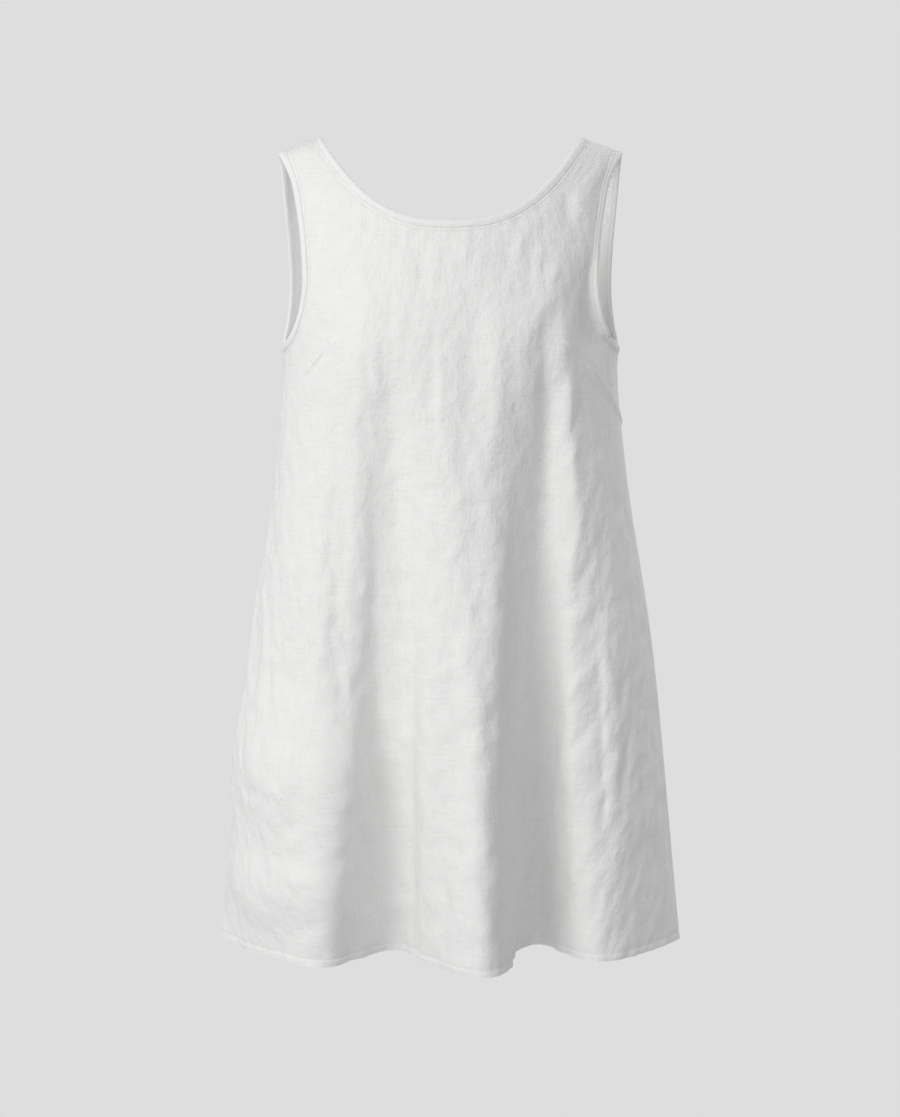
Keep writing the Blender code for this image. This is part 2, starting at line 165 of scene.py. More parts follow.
# The hem seen from below: the ridges and valleys of the flare, from the left side seam to the right one
HemFold = namedtuple("HemFold", "name x y")
FRONT_HEM = (
    HemFold("left side seam", -0.2456, 0.000),
    HemFold("left outer flank", -0.1900, -0.076),
    HemFold("left ridge", -0.1300, -0.120),
    HemFold("left inner flank", -0.0960, -0.086),
    HemFold("left valley", -0.0620, -0.056),
    HemFold("centre left flank", -0.0200, -0.098),
    HemFold("centre ridge", 0.0300, -0.163),
    HemFold("centre shoulder", 0.0565, -0.140),
    HemFold("centre right flank", 0.0645, -0.088),
    HemFold("centre right foot", 0.0715, -0.050),
    HemFold("right valley", 0.0950, -0.036),
    HemFold("right inner flank", 0.1240, -0.070),
    HemFold("right ridge", 0.1600, -0.099),
    HemFold("right outer flank", 0.2060, -0.060),
    HemFold("right side seam", 0.2456, 0.000),
)
BACK_HEM = (
    HemFold("left side seam", -0.2456, 0.000),
    HemFold("left flank", -0.2040, 0.066),
    HemFold("left ridge", -0.1560, 0.108),
    HemFold("left valley", -0.0860, 0.058),
    HemFold("centre ridge", 0.0060, 0.150),
    HemFold("right valley", 0.0980, 0.064),
    HemFold("right ridge", 0.1600, 0.104),
    HemFold("right flank", 0.2060, 0.064),
    HemFold("right side seam", 0.2456, 0.000),
)

# An armhole edge on one half: the section angle where it is narrowest, and where the strap begins
Armhole = namedtuple("Armhole", "narrow_angle top_angle narrow_height top_height bow")
FRONT_ARMHOLE = Armhole(57.6, 63.4, -0.137, -0.045, 0.73)
BACK_ARMHOLE = Armhole(71.8, 76.8, -0.137, -0.045, 1.10)

# Mesh columns across a half, and rows up it. The outermost columns end on the armhole's lower curve
Grid = namedtuple("Grid", "columns under_columns strap_columns skirt_rows chest_rows strap_rows")
FRONT_GRID = Grid(168, 20, 28, 176, 48, 64)
BACK_GRID = Grid(152, 8, 28, 176, 40, 0)
COLUMN_CROWDING = 0.25
ROW_CROWDING = 1.7
SHARE_SAMPLES = 480

# Broad folds that begin at the bust and run down into the flare. A positive depth is a ridge and a negative
# one a trough. The middle of each passes through three points, at its top, halfway down and at its bottom
Fold = namedtuple("Fold", "top_z bottom_z top_x middle_x bottom_x width depth")
FRONT_FOLDS = (
    Fold(-0.16, -0.98, -0.09, -0.105, -0.162, 0.0175, 0.0118),
    Fold(-0.17, -0.98, -0.05, -0.049, -0.056, 0.0185, -0.0145),
    Fold(-0.12, -0.52, -0.068, -0.062, -0.056, 0.015, -0.0055),
    Fold(-0.3, -1.05, -0.02, -0.02, -0.014, 0.019, 0.011),
    Fold(-0.1, -0.7, 0.02, 0.02, 0.02, 0.014, -0.0035),
    Fold(-0.56, -1.15, 0.012, 0.012, 0.012, 0.0125, 0.007),
    Fold(-0.14, -0.84, 0.056, 0.043, 0.03, 0.015, 0.0065),
    Fold(-0.125, -0.43, 0.096, 0.0975, 0.096, 0.009, -0.0048),
    Fold(-0.13, -0.43, 0.109, 0.1185, 0.132, 0.0085, 0.0044),
    Fold(-0.17, -0.98, 0.112, 0.088, 0.106, 0.0145, -0.0135),
    Fold(-0.17, -0.98, 0.122, 0.129, 0.151, 0.016, 0.0112),
    Fold(-0.4, -0.9, 0.15, 0.156, 0.164, 0.0105, -0.007),
)
BACK_FOLDS = (
    Fold(-0.18, -0.98, -0.118, -0.14, -0.168, 0.0165, 0.0105),
    Fold(-0.15, -0.98, -0.062, -0.076, -0.092, 0.015, -0.0125),
    Fold(-0.24, -1.0, 0.006, 0.002, 0.008, 0.017, 0.01),
    Fold(-0.17, -0.98, 0.068, 0.084, 0.104, 0.0145, -0.012),
    Fold(-0.16, -0.96, 0.116, 0.142, 0.17, 0.0165, 0.0105),
)

# Creases placed one by one: a positive depth is a ridge and a negative one a trough. x and z are its middle's,
# and lean is its angle from upright in degrees (positive: its top leans to +X)
Crease = namedtuple("Crease", "x z lean length width depth bend", defaults=(0.0,))
FRONT_CREASES = (
    Crease(0.019, -0.28, 0, 0.26, 0.01, -0.002),
    Crease(0.045, -0.25, 2, 0.26, 0.011, 0.0026),
    # The hollow between the right side of the bust and the armhole, and the strap above it
    Crease(0.16, -0.165, 8, 0.142, 0.027, -0.0125),
    Crease(0.098, -0.16, 22, 0.13, 0.016, 0.004),
    Crease(0.139, -0.05, 8, 0.11, 0.01, 0.002),
    # The lower left of the skirt turns in a little towards the hem
    Crease(-0.175, -0.655, 84, 0.29, 0.07, 0.022),
    Crease(-0.18, -0.765, 84, 0.29, 0.043, 0.015),
    # Long folds that hang from the bust
    Crease(-0.01, -0.245, 0, 0.15, 0.005, 0.0016),
    Crease(-0.019, -0.26, 1, 0.13, 0.007, -0.0016, 0.002),
    Crease(0.01, -0.32, -3, 0.13, 0.007, -0.0018, -0.004),
    Crease(0.024, -0.3, -2, 0.16, 0.008, 0.0018, 0.004),
    Crease(0.045, -0.345, 2, 0.14, 0.009, -0.002, 0.003),
    Crease(-0.04, -0.33, -2, 0.18, 0.01, 0.0014),
    Crease(-0.083, -0.232, -6, 0.05, 0.0045, -0.0018, 0.001),
    Crease(-0.075, -0.24, -4, 0.06, 0.005, 0.0016, 0.001),
    Crease(-0.086, -0.3, 3, 0.11, 0.007, -0.0016, 0.002),
    # The dent beside the right bust dart and the pull that runs down from it
    Crease(0.092, -0.195, 26, 0.1, 0.01, -0.0022, 0.006),
    Crease(0.106, -0.225, 14, 0.1, 0.007, 0.0014, 0.004),
    Crease(0.117, -0.262, 10, 0.12, 0.006, 0.0022, 0.003),
    Crease(0.124, -0.285, 14, 0.07, 0.005, -0.0018, 0.002),
    Crease(0.095, -0.125, 28, 0.03, 0.004, -0.0013, 0.001),
    Crease(0.102, -0.14, 24, 0.034, 0.0045, 0.0013, 0.001),
    # The pull of the stitches beside each bust dart
    Crease(-0.134, -0.221, 42, 0.08, 0.003, -0.0022),
    Crease(0.133, -0.218, -44, 0.06, 0.0032, -0.0008),
    # Side of the right ridge
    Crease(0.128, -0.4, 9, 0.11, 0.005, 0.002, 0.003),
    Crease(0.136, -0.44, 12, 0.07, 0.005, -0.0018, 0.002),
    Crease(0.126, -0.47, 38, 0.04, 0.0045, -0.0023, 0.002),
    Crease(0.128, -0.56, 22, 0.08, 0.0055, 0.0022, 0.003),
    Crease(0.14, -0.6, 18, 0.09, 0.006, -0.002, 0.002),
    Crease(0.15, -0.69, -12, 0.07, 0.005, 0.0018, 0.002),
    Crease(0.145, -0.745, 24, 0.06, 0.005, -0.002, 0.002),
    Crease(0.16, -0.77, -20, 0.06, 0.006, 0.002, 0.002),
    Crease(0.18, -0.64, -8, 0.12, 0.007, -0.0022, 0.003),
    Crease(0.193, -0.7, -10, 0.11, 0.006, 0.0018, 0.002),
    # The lit thread of cloth in the dark right valley
    Crease(0.0605, -0.68, 1, 0.26, 0.004, 0.0025, 0.002),
    Crease(0.05, -0.56, 10, 0.13, 0.005, -0.0018, 0.002),
    # Right side of the centre ridge
    Crease(0.04, -0.585, 14, 0.085, 0.007, -0.0011, 0.003),
    Crease(0.047, -0.6, 12, 0.09, 0.007, 0.001, 0.002),
    Crease(0.03, -0.628, 22, 0.05, 0.006, -0.0014, 0.002),
    Crease(0.037, -0.645, 14, 0.06, 0.0055, 0.0012, 0.002),
    Crease(0.024, -0.7, 14, 0.05, 0.006, -0.0018, 0.002),
    Crease(0.046, -0.735, 16, 0.06, 0.005, 0.002, 0.002),
    Crease(0.012, -0.5, 8, 0.12, 0.008, 0.0014, 0.003),
    Crease(0.03, -0.47, 12, 0.1, 0.007, -0.0016, 0.003),
    Crease(-0.012, -0.77, 60, 0.05, 0.006, 0.0016, 0.002),
    # Left flank of the centre ridge
    Crease(-0.05, -0.42, -4, 0.13, 0.008, 0.002, 0.003),
    Crease(-0.064, -0.52, 6, 0.09, 0.006, -0.0018, 0.002),
    Crease(-0.052, -0.62, -8, 0.08, 0.006, 0.002, 0.002),
    Crease(-0.048, -0.72, -30, 0.055, 0.006, -0.002, 0.002),
    Crease(-0.04, -0.78, 62, 0.06, 0.006, 0.0018, 0.002),
    # Small crumples on the right half of the left ridge
    Crease(-0.095, -0.45, 20, 0.03, 0.0045, -0.0018, 0.001),
    Crease(-0.091, -0.455, 18, 0.034, 0.004, 0.0018, 0.001),
    Crease(-0.094, -0.505, 14, 0.06, 0.005, 0.002, 0.002),
    Crease(-0.1, -0.555, 26, 0.06, 0.005, -0.0022, 0.002),
    Crease(-0.098, -0.625, 20, 0.06, 0.005, 0.002, 0.002),
    Crease(-0.105, -0.665, 34, 0.06, 0.0055, -0.0023, 0.003),
    Crease(-0.112, -0.7, 42, 0.06, 0.0055, 0.0023, 0.003),
    Crease(-0.118, -0.72, 44, 0.06, 0.005, -0.0023, 0.003),
    Crease(-0.108, -0.742, 50, 0.056, 0.005, 0.0022, 0.002),
    Crease(-0.113, -0.765, 52, 0.06, 0.005, -0.0022, 0.002),
    Crease(-0.12, -0.792, 60, 0.06, 0.006, 0.002, 0.002),
    # Small crumples on its left half, towards the side seam
    Crease(-0.19, -0.668, 70, 0.05, 0.0055, -0.0023, 0.002),
    Crease(-0.2, -0.68, -48, 0.045, 0.0055, 0.0022, 0.002),
    Crease(-0.172, -0.664, 80, 0.04, 0.0055, 0.0018, 0.001),
    Crease(-0.178, -0.712, -46, 0.05, 0.005, 0.0022, 0.002),
    Crease(-0.17, -0.726, -52, 0.05, 0.005, -0.002, 0.002),
    Crease(-0.198, -0.752, -44, 0.06, 0.006, -0.002, 0.002),
    Crease(-0.182, -0.768, -58, 0.05, 0.005, 0.0018, 0.002),
    Crease(-0.15, -0.69, 58, 0.05, 0.006, -0.0018, 0.002),
    Crease(-0.15, -0.752, 68, 0.05, 0.006, 0.0018, 0.002),
    Crease(-0.14, -0.8, 78, 0.06, 0.006, -0.0018, 0.002),
    # Upper chest and strap roots
    Crease(-0.03, -0.13, -3, 0.06, 0.006, -0.0009, 0.001),
    Crease(0.015, -0.115, 4, 0.05, 0.006, 0.0009, 0.001),
    Crease(0.055, -0.125, 12, 0.06, 0.007, -0.0011, 0.001),
    Crease(0.072, -0.105, 18, 0.06, 0.007, 0.0013, 0.001),
    Crease(0.118, -0.07, 10, 0.06, 0.007, -0.0016, 0.001),
    Crease(0.13, -0.06, 6, 0.06, 0.006, 0.0014, 0.001),
    Crease(-0.128, -0.11, -6, 0.09, 0.01, 0.0013, 0.001),
)
BACK_CREASES = (
    # Long folds that hang from the shoulder blades
    Crease(-0.02, -0.3, 2, 0.17, 0.008, 0.0018, 0.003),
    Crease(0.018, -0.33, -3, 0.16, 0.008, -0.0018, 0.004),
    Crease(0.048, -0.29, 4, 0.15, 0.009, 0.0018, 0.002),
    Crease(-0.062, -0.32, -4, 0.15, 0.008, -0.0018, 0.003),
    Crease(-0.098, -0.26, -10, 0.11, 0.009, 0.0032, 0.004),
    Crease(0.1, -0.25, 12, 0.12, 0.01, -0.0036, 0.004),
    Crease(0.112, -0.29, 8, 0.11, 0.007, 0.0025, 0.003),
    Crease(-0.12, -0.2, -16, 0.08, 0.009, -0.0032, 0.003),
    Crease(0.0, -0.42, 2, 0.15, 0.008, 0.0016, 0.003),
    Crease(-0.034, -0.46, -6, 0.11, 0.007, -0.0018, 0.002),
    Crease(0.036, -0.5, 8, 0.11, 0.007, -0.002, 0.002),
    Crease(-0.09, -0.42, 6, 0.12, 0.007, 0.002, 0.002),
    Crease(0.086, -0.44, -7, 0.11, 0.007, 0.002, 0.002),
    Crease(-0.14, -0.47, -9, 0.11, 0.007, -0.002, 0.003),
    Crease(0.146, -0.48, 10, 0.11, 0.007, -0.002, 0.003),
    # Crumples on the flanks and above the hem
    Crease(-0.04, -0.58, -24, 0.06, 0.0055, 0.0022, 0.002),
    Crease(-0.05, -0.6, -28, 0.06, 0.005, -0.0022, 0.002),
    Crease(0.044, -0.61, 22, 0.07, 0.0055, -0.0023, 0.002),
    Crease(0.052, -0.63, 18, 0.07, 0.005, 0.0022, 0.002),
    Crease(-0.112, -0.6, 32, 0.06, 0.0055, 0.0022, 0.003),
    Crease(-0.12, -0.64, 40, 0.06, 0.0055, -0.0023, 0.003),
    Crease(-0.128, -0.69, 46, 0.06, 0.0055, 0.0022, 0.002),
    Crease(0.118, -0.62, -30, 0.06, 0.0055, 0.0022, 0.002),
    Crease(0.126, -0.66, -36, 0.06, 0.0055, -0.0022, 0.002),
    Crease(0.13, -0.71, -44, 0.055, 0.0055, 0.0022, 0.002),
    Crease(0.182, -0.69, -62, 0.05, 0.0055, -0.0022, 0.002),
    Crease(0.19, -0.74, 50, 0.055, 0.006, 0.002, 0.002),
    Crease(-0.186, -0.7, 60, 0.05, 0.0055, -0.0022, 0.002),
    Crease(-0.18, -0.75, -52, 0.055, 0.006, 0.002, 0.002),
    Crease(0.02, -0.72, 16, 0.06, 0.006, 0.002, 0.002),
    Crease(0.01, -0.77, 58, 0.055, 0.006, -0.0018, 0.002),
    Crease(-0.02, -0.69, -14, 0.06, 0.006, -0.0018, 0.002),
    Crease(-0.07, -0.77, -60, 0.055, 0.006, 0.0018, 0.002),
    Crease(0.09, -0.78, 66, 0.055, 0.006, 0.0018, 0.002),
    # Below the neckline
    Crease(-0.04, -0.15, -6, 0.06, 0.007, -0.0011, 0.001),
    Crease(0.03, -0.16, 8, 0.06, 0.007, 0.0011, 0.001),
    Crease(0.085, -0.14, 20, 0.06, 0.007, -0.0014, 0.001),
    Crease(-0.09, -0.135, -20, 0.06, 0.007, 0.0014, 0.001),
)

# Points within this height of each other count as one level of a panel
LEVEL_REACH = 0.004

# Uneven give of the cloth between the creases: the size of its waves both ways, and their height
Ripple = namedtuple("Ripple", "across along height")
RIPPLES = (
    Ripple(0.050, 0.120, 0.0030),
    Ripple(0.020, 0.045, 0.0020),
    Ripple(0.011, 0.020, 0.0021),
)
# Separate layers of noise, so that no two kinds of unevenness are alike
RIPPLE_LAYERS = 10.0
HEM_LAYER = 3.0
SWELL_LAYER = 2.0
SWAY_LAYER = 7.0
FRONT_SEED = 1.0
BACK_SEED = 51.0
# Creases and ripples fade out over so many columns or rows before a seam or a bound edge
EDGE_CALM = 5.0
# The lower half of the skirt is more crumpled than the chest, and the straps least
STRAP_CALM_SHARE = 0.25
STRAP_CALM_FROM = -0.110
CALM_SHARE = 0.35
CRUMPLE_TOP = -0.20
CRUMPLE_FULL = -0.62

# Bust darts: from a height on the side seam, and then as seen from in front, to the tip
DART_SEAM_HEIGHT = -0.2900
DART_SEAM_STEPS = 10
DART_START = (0.1750, -0.276)
DART_MIDDLE = (0.1495, -0.227)
DART_TIP = (0.1105, -0.1957)
DART_LIP = 0.00225
DART_LAP = 0.0090
DART_STEPS = 40
# The lap fades out fast at its tip and starts thin and narrow at the side seam. Its bed is sunk into the
# cloth, and its edges keep a little thickness
DART_TIP_FADE = 6.5
DART_SEAM_FADE = 12.0
DART_SEAM_SHARE = 0.1
DART_FADE_POWER = 0.7
DART_END_WIDTH = 0.35
DART_SUNK = 0.0002
DART_EDGE = 0.0001
DART_WEAVE_LENGTH = 0.09
# Across the lap: share of its width from the seam line, and share of its height
DART_PROFILE = (
    (-0.06, 0.0),
    (-0.02, 0.5),
    (0.02, 0.9),
    (0.09, 1.0),
    (0.32, 0.64),
    (0.7, 0.24),
    (1.0, 0.0),
)

# Linen: the pitch and height of its threads, and its slubs and crumples in cells a metre, across and along
Linen = namedtuple("Linen", "name dark light slub_share crumple_height")
BODY_LINEN = Linen("white linen", (0.85, 0.85, 0.845), (0.90, 0.90, 0.895), 1.0, 0.0019)
# Painted light: the binding's linen is painted a little lighter than the body's, to make up for the shade of
# its rounded fold and the groove beside it
LIGHTENED_EDGING_LINEN = Linen("white linen binding", (0.87, 0.87, 0.865), (0.91, 0.91, 0.905), 0.6, 0.0006)
WEAVE_PITCH = 0.00062
WEAVE_HEIGHT = 0.000035
WARP_SLUBS = (620.0, 26.0)
WEFT_SLUBS = (24.0, 560.0)
SLUB_HEIGHT = 0.00020
SLUB_COLOUR_START = 0.70
CRUMPLES = (105.0, 75.0)
CRUMPLE_DETAIL = 3.0
FINE_CRUMPLES = (300.0, 230.0)
FINE_CRUMPLE_SHARE = 0.22

# Sewing thread: the pitch and height of its twisted plies
PLY_PITCH = 0.0006
PLY_HEIGHT = 0.00004
# Painted shade: the thread is darker in the grooves between its plies and keeps its own white on their crests
THREAD_GROOVE_SHADE = (0.74, 0.74, 0.73)
THREAD_LIGHT = (0.86, 0.86, 0.85)

# The camera of the photograph: its downward pitch in degrees, its lens and sensor in millimetres
CAMERA_PLACE = (-0.0005, -2.600, -0.1906)
CAMERA_PITCH = 5.2748
CAMERA_LENS = 79.77
CAMERA_SENSOR = 36.0

# Studio
BACKDROP = (0.730, 0.730, 0.728)
# The even light of the white room: its strength, and how much brighter it is from the window's side
SKY = (0.995, 0.998, 1.0)
SKY_STRENGTH = 0.492
SKY_SLOPE = 0.25
SKY_AIM = (-0.70, -0.60, 0.38)
FLOOR_HEIGHT = -1.45
STUDIO_RADIUS = 14.0
STUDIO_SEGMENTS = 64
# The floor's disc stops just inside the backdrop
FLOOR_SHARE = 0.99
Lamp = namedtuple("Lamp", "name place aim size power colour")
LAMPS = (
    Lamp("window", (-2.05, -2.70, 1.00), (0.0, 0.0, -0.40), 1.9, 55.5, (1.0, 0.995, 0.985)),
    Lamp("rear", (2.20, 2.10, 1.30), (0.0, 0.0, -0.40), 1.8, 34.0, (0.985, 0.992, 1.0)),
    # The light that comes through the white cloth of the left side
    Lamp("inner", (0.02, -0.01, -0.16), (-0.18, 0.02, -0.13), 0.12, 0.09, (1.0, 1.0, 1.0)),
)


def mix(a, b, share):
    return a + (b - a) * share


def smooth_step(value, low, high):
    t = np.clip((value - low) / (high - low), 0.0, 1.0)
    return t * t * (3 - 2 * t)


def hermite(start, leave, end, arrive, t):
    """The value at t, from 0 to 1, of a curve with given slopes where it leaves and where it arrives."""
    return (
        start * (2 * t**3 - 3 * t**2 + 1)
        + leave * (t**3 - 2 * t**2 + t)
        + end * (3 * t**2 - 2 * t**3)
        + arrive * (t**3 - t**2)
    )


def uneven(place, length, layer):
    """A wave along a line that never quite repeats, from -1 to 1, and the same on each run."""
    return noise.noise(Vector((place / length, layer, 0.0)))


# The cloth's surface, as in the solids


def section_value(column, height):
    """One column of SECTIONS at any height, through its rows in a smooth curve."""
    rows = SECTIONS
    heights = [-row.height for row in rows]
    values = [getattr(row, column) for row in rows]
    place = min(max(bisect.bisect_right(heights, -height) - 1, 0), len(rows) - 2)

    def slope(k):
        low, high = max(k - 1, 0), min(k + 1, len(rows) - 1)
        return (values[high] - values[low]) / (heights[high] - heights[low])

    step = heights[place + 1] - heights[place]
    t = (-height - heights[place]) / step
    t = min(max(t, 0.0), 1.0)
    return hermite(values[place], slope(place) * step, values[place + 1], slope(place + 1) * step, t)


def smooth_line(points, steps=24):
    """A dense line through the points, each stretch a Catmull-Rom curve."""
    ends = [points[0] * 2 - points[1], *points, points[-1] * 2 - points[-2]]
    line = []
    for before, start, end, after in zip(ends, ends[1:], ends[2:], ends[3:]):
        leave = (end - before) * 0.5
        arrive = (after - start) * 0.5
        line += [hermite(start, leave, end, arrive, k / steps) for k in range(steps)]
    return [*line, points[-1]]


def lengths_along(line):
    """The share of a line's whole length at each of its points."""
    lengths = [0.0]
    for start, end in zip(line, line[1:]):
        lengths.append(lengths[-1] + (end - start).length)
    return [length / lengths[-1] for length in lengths]


def read_along(places, values, place):
    """The value at a place, straight between the listed ones."""
    index = min(max(bisect.bisect_right(places, place) - 1, 0), len(places) - 2)
    t = (place - places[index]) / (places[index + 1] - places[index])
    return mix(values[index], values[index + 1], t)


def hang(height):
    """How far a point has gone from the bust line's shape (0) to the hem's (1)."""
    fallen = max((HANG_START - height) / (HANG_START - HEM_HEIGHT), 0.0)
    return fallen * fallen / (fallen + HANG_EASE) * (1 + HANG_EASE)


def bust_fullness(x, height):
    down = (height - BUST_HEIGHT) / BUST_REACH_HEIGHT
    total = 0.0
    for side in (-1, 1):
        across = (x - side * BUST_X) / BUST_REACH_X
        total += BUST_FULLNESS * math.exp(-across * across - down * down)
    return total


class Half:
    """The front or the back half of the body."""

    def __init__(self, facing, depth_column, hem, armhole, neck_height, neck_power):
        self.facing = facing
        self.depth_column = depth_column
        self.armhole = armhole
        self.neck_height = neck_height
        self.neck_power = neck_power
        width = section_value("half_width", UNDERARM_HEIGHT)
        depth = section_value(depth_column, UNDERARM_HEIGHT)
        self.angles = [mix(-90.0, 90.0, k / SHARE_SAMPLES) for k in range(SHARE_SAMPLES + 1)]
        bust = [self.section(angle, width, depth) for angle in self.angles]
        self.shares = lengths_along(bust)
        self.hem_line = smooth_line([Vector((fold.x, fold.y)) for fold in hem])
        self.hem_shares = lengths_along(self.hem_line)
        self.hem_half_width = section_value("half_width", HEM_HEIGHT)

    def section(self, angle, width, depth):
        turn = math.radians(angle)
        return Vector((width * math.sin(turn), self.facing * depth * math.cos(turn)))

    def angle_at(self, share):
        return read_along(self.shares, self.angles, share)

    def share_at(self, angle):
        return read_along(self.angles, self.shares, angle)

    def share_at_x(self, x, height):
        width = section_value("half_width", height)
        return self.share_at(math.degrees(math.asin(x / width)))

    def point(self, share, height):
        width = section_value("half_width", height)
        depth = section_value(self.depth_column, height)
        body = self.section(self.angle_at(share), width, depth)
        hem = read_along(self.hem_shares, self.hem_line, share)
        fallen = hang(height)
        x = mix(body.x, hem.x * width / self.hem_half_width, fallen)
        y = mix(body.y, hem.y, fallen)
        if self.facing < 0:
            y -= bust_fullness(x, height) * math.cos(math.radians(self.angle_at(share)))
        return Vector((x, y, height))

    def armhole_angle(self, height):
        """The section angle of the armhole's edge at a height."""
        edge = self.armhole
        if height >= edge.narrow_height:
            up = (height - edge.narrow_height) / (edge.top_height - edge.narrow_height)
            return mix(edge.narrow_angle, edge.top_angle, up * up)
        up = (height - UNDERARM_HEIGHT) / (edge.narrow_height - UNDERARM_HEIGHT)
        turn = math.acos(1 - up)
        return mix(90.0, edge.narrow_angle, math.sin(turn) ** edge.bow)

    def armhole_height(self, angle):
        """The height of the armhole's lower curve at a section angle."""
        edge = self.armhole
        sine = ((90.0 - angle) / (90.0 - edge.narrow_angle)) ** (1 / edge.bow)
        rise = 1 - math.sqrt(max(1 - sine * sine, 0.0))
        return mix(UNDERARM_HEIGHT, edge.narrow_height, rise)

    def neck_rise(self, x):
        """The neckline's height at x."""
        whole = CREST_INNER_HEIGHT - self.neck_height
        return self.neck_height + whole * (abs(x) / CREST_INNER_X) ** self.neck_power

    def neck_x(self, height):
        """The neckline's distance from the centre at a height."""
        whole = CREST_INNER_HEIGHT - self.neck_height
        return CREST_INNER_X * ((height - self.neck_height) / whole) ** (1 / self.neck_power)


def column_share(place):
    """Where a column lies across a half. Columns are closer together beside the seams."""
    return place - COLUMN_CROWDING * math.sin(2 * math.pi * place) / (2 * math.pi)


class Panel:
    """A half laid out on a grid of columns and rows. Keys are (column, row), from the left and from the hem.

    "flat" holds each key's place in the flat cut: metres to the right of the centre, and height.
    """

    def __init__(self, half, grid, strap_height):
        self.half = half
        self.grid = grid
        self.strap_height = strap_height
        self.under = grid.under_columns
        self.inner = grid.under_columns + grid.strap_columns
        self.last = grid.columns
        self.chest_row = grid.skirt_rows
        self.strap_row = grid.skirt_rows + grid.chest_rows
        self.top_row = self.strap_row + grid.strap_rows
        self.points = {}
        self.flat = {}
        self.place_skirt()
        self.place_chest()
        self.lay_flat()

    def mirrored(self, column):
        return self.last - column

    def share(self, column):
        return column_share(column / self.last)

    def skirt_top(self, column):
        """The height at which a column meets the skirt's top row."""
        near = min(column, self.mirrored(column), self.under)
        return self.half.armhole_height(-self.half.angle_at(self.share(near)))

    def place_skirt(self):
        """Columns from the hem up to the chest row, with rows closer together towards the bust."""
        hem = [HEM_HEIGHT + rise for rise in HEM_ROWS]
        count = self.chest_row - len(HEM_ROWS) + 1
        rises = [1 - (1 - k / count) ** ROW_CROWDING for k in range(1, count + 1)]
        for column in range(self.last + 1):
            top = self.skirt_top(column)
            heights = hem + [mix(hem[-1], top, rise) for rise in rises]
            for row, height in enumerate(heights):
                self.points[column, row] = self.half.point(self.share(column), height)

    def strap_root(self, across):
        """(share, height) on the strap row, from the neckline's edge (0) to the armhole's (1)."""
        inner_x = self.half.neck_x(self.strap_height)
        inner = self.half.share_at_x(-inner_x, self.strap_height)
        outer = self.half.share_at(-self.half.armhole_angle(self.strap_height))
        return mix(inner, outer, across), self.strap_height

    def top_edge(self, column):
        """(share, height) where a column meets the strap row."""
        near = min(column, self.mirrored(column))
        if near <= self.inner:
            across = (self.inner - near) / self.grid.strap_columns
            share, height = self.strap_root(across)
            return (share if near == column else 1 - share), height
        root_x = self.half.neck_x(self.strap_height)
        along = (column - self.inner) / (self.last - 2 * self.inner)
        x = mix(-root_x, root_x, along)
        height = self.half.neck_rise(x)
        return self.half.share_at_x(x, height), height

    def place_chest(self):
        """Columns and rows blended from the chest row, the two armholes and the strap row."""
        low = self.skirt_top(self.under)
        first, final = self.under, self.last - self.under
        root_share = self.top_edge(first)[0]
        tops = {column: self.top_edge(column) for column in range(first, final + 1)}
        for row in range(self.chest_row + 1, self.strap_row + 1):
            up = (row - self.chest_row) / self.grid.chest_rows
            edge_height = mix(low, self.strap_height, up)
            edge_share = self.half.share_at(-self.half.armhole_angle(edge_height))
            for column in range(first, final + 1):
                across = (column - first) / (final - first)
                top_share, top_height = tops[column]
                share = (
                    mix(self.share(column), top_share, up)
                    + mix(edge_share, 1 - edge_share, across)
                    - mix(
                        mix(self.share(first), self.share(final), across),
                        mix(root_share, 1 - root_share, across),
                        up,
                    )
                )
                height = mix(low, top_height, up)
                self.points[column, row] = self.half.point(share, height)

    def lay_flat(self):
        middle = self.last // 2
        for row in range(self.strap_row + 1):
            columns = [c for c in range(self.last + 1) if (c, row) in self.points]
            steps = [0.0]
            for a, b in zip(columns, columns[1:]):
                steps.append(steps[-1] + (self.points[b, row] - self.points[a, row]).length)
            centre = steps[columns.index(middle)]
            for column, length in zip(columns, steps):
                self.flat[column, row] = (length - centre, self.points[column, row].z)

    def quads(self):
        for column, row in self.points:
            corners = [(column, row), (column + 1, row), (column + 1, row + 1), (column, row + 1)]
            if all(key in self.points for key in corners):
                yield corners


def boundary_tangent(place, height, rise=0.002):
    """The direction of an edge at a height, from a function that gives its point."""
    return (place(height + rise) - place(height)).normalized()


def strap_path(start, leave, end, arrive, steps=48):
    """A smooth path that leaves and arrives in the given directions."""
    pull = (end - start).length * STRAP_ARCH
    return [hermite(start, leave * pull, end, arrive * pull, k / steps) for k in range(steps + 1)]


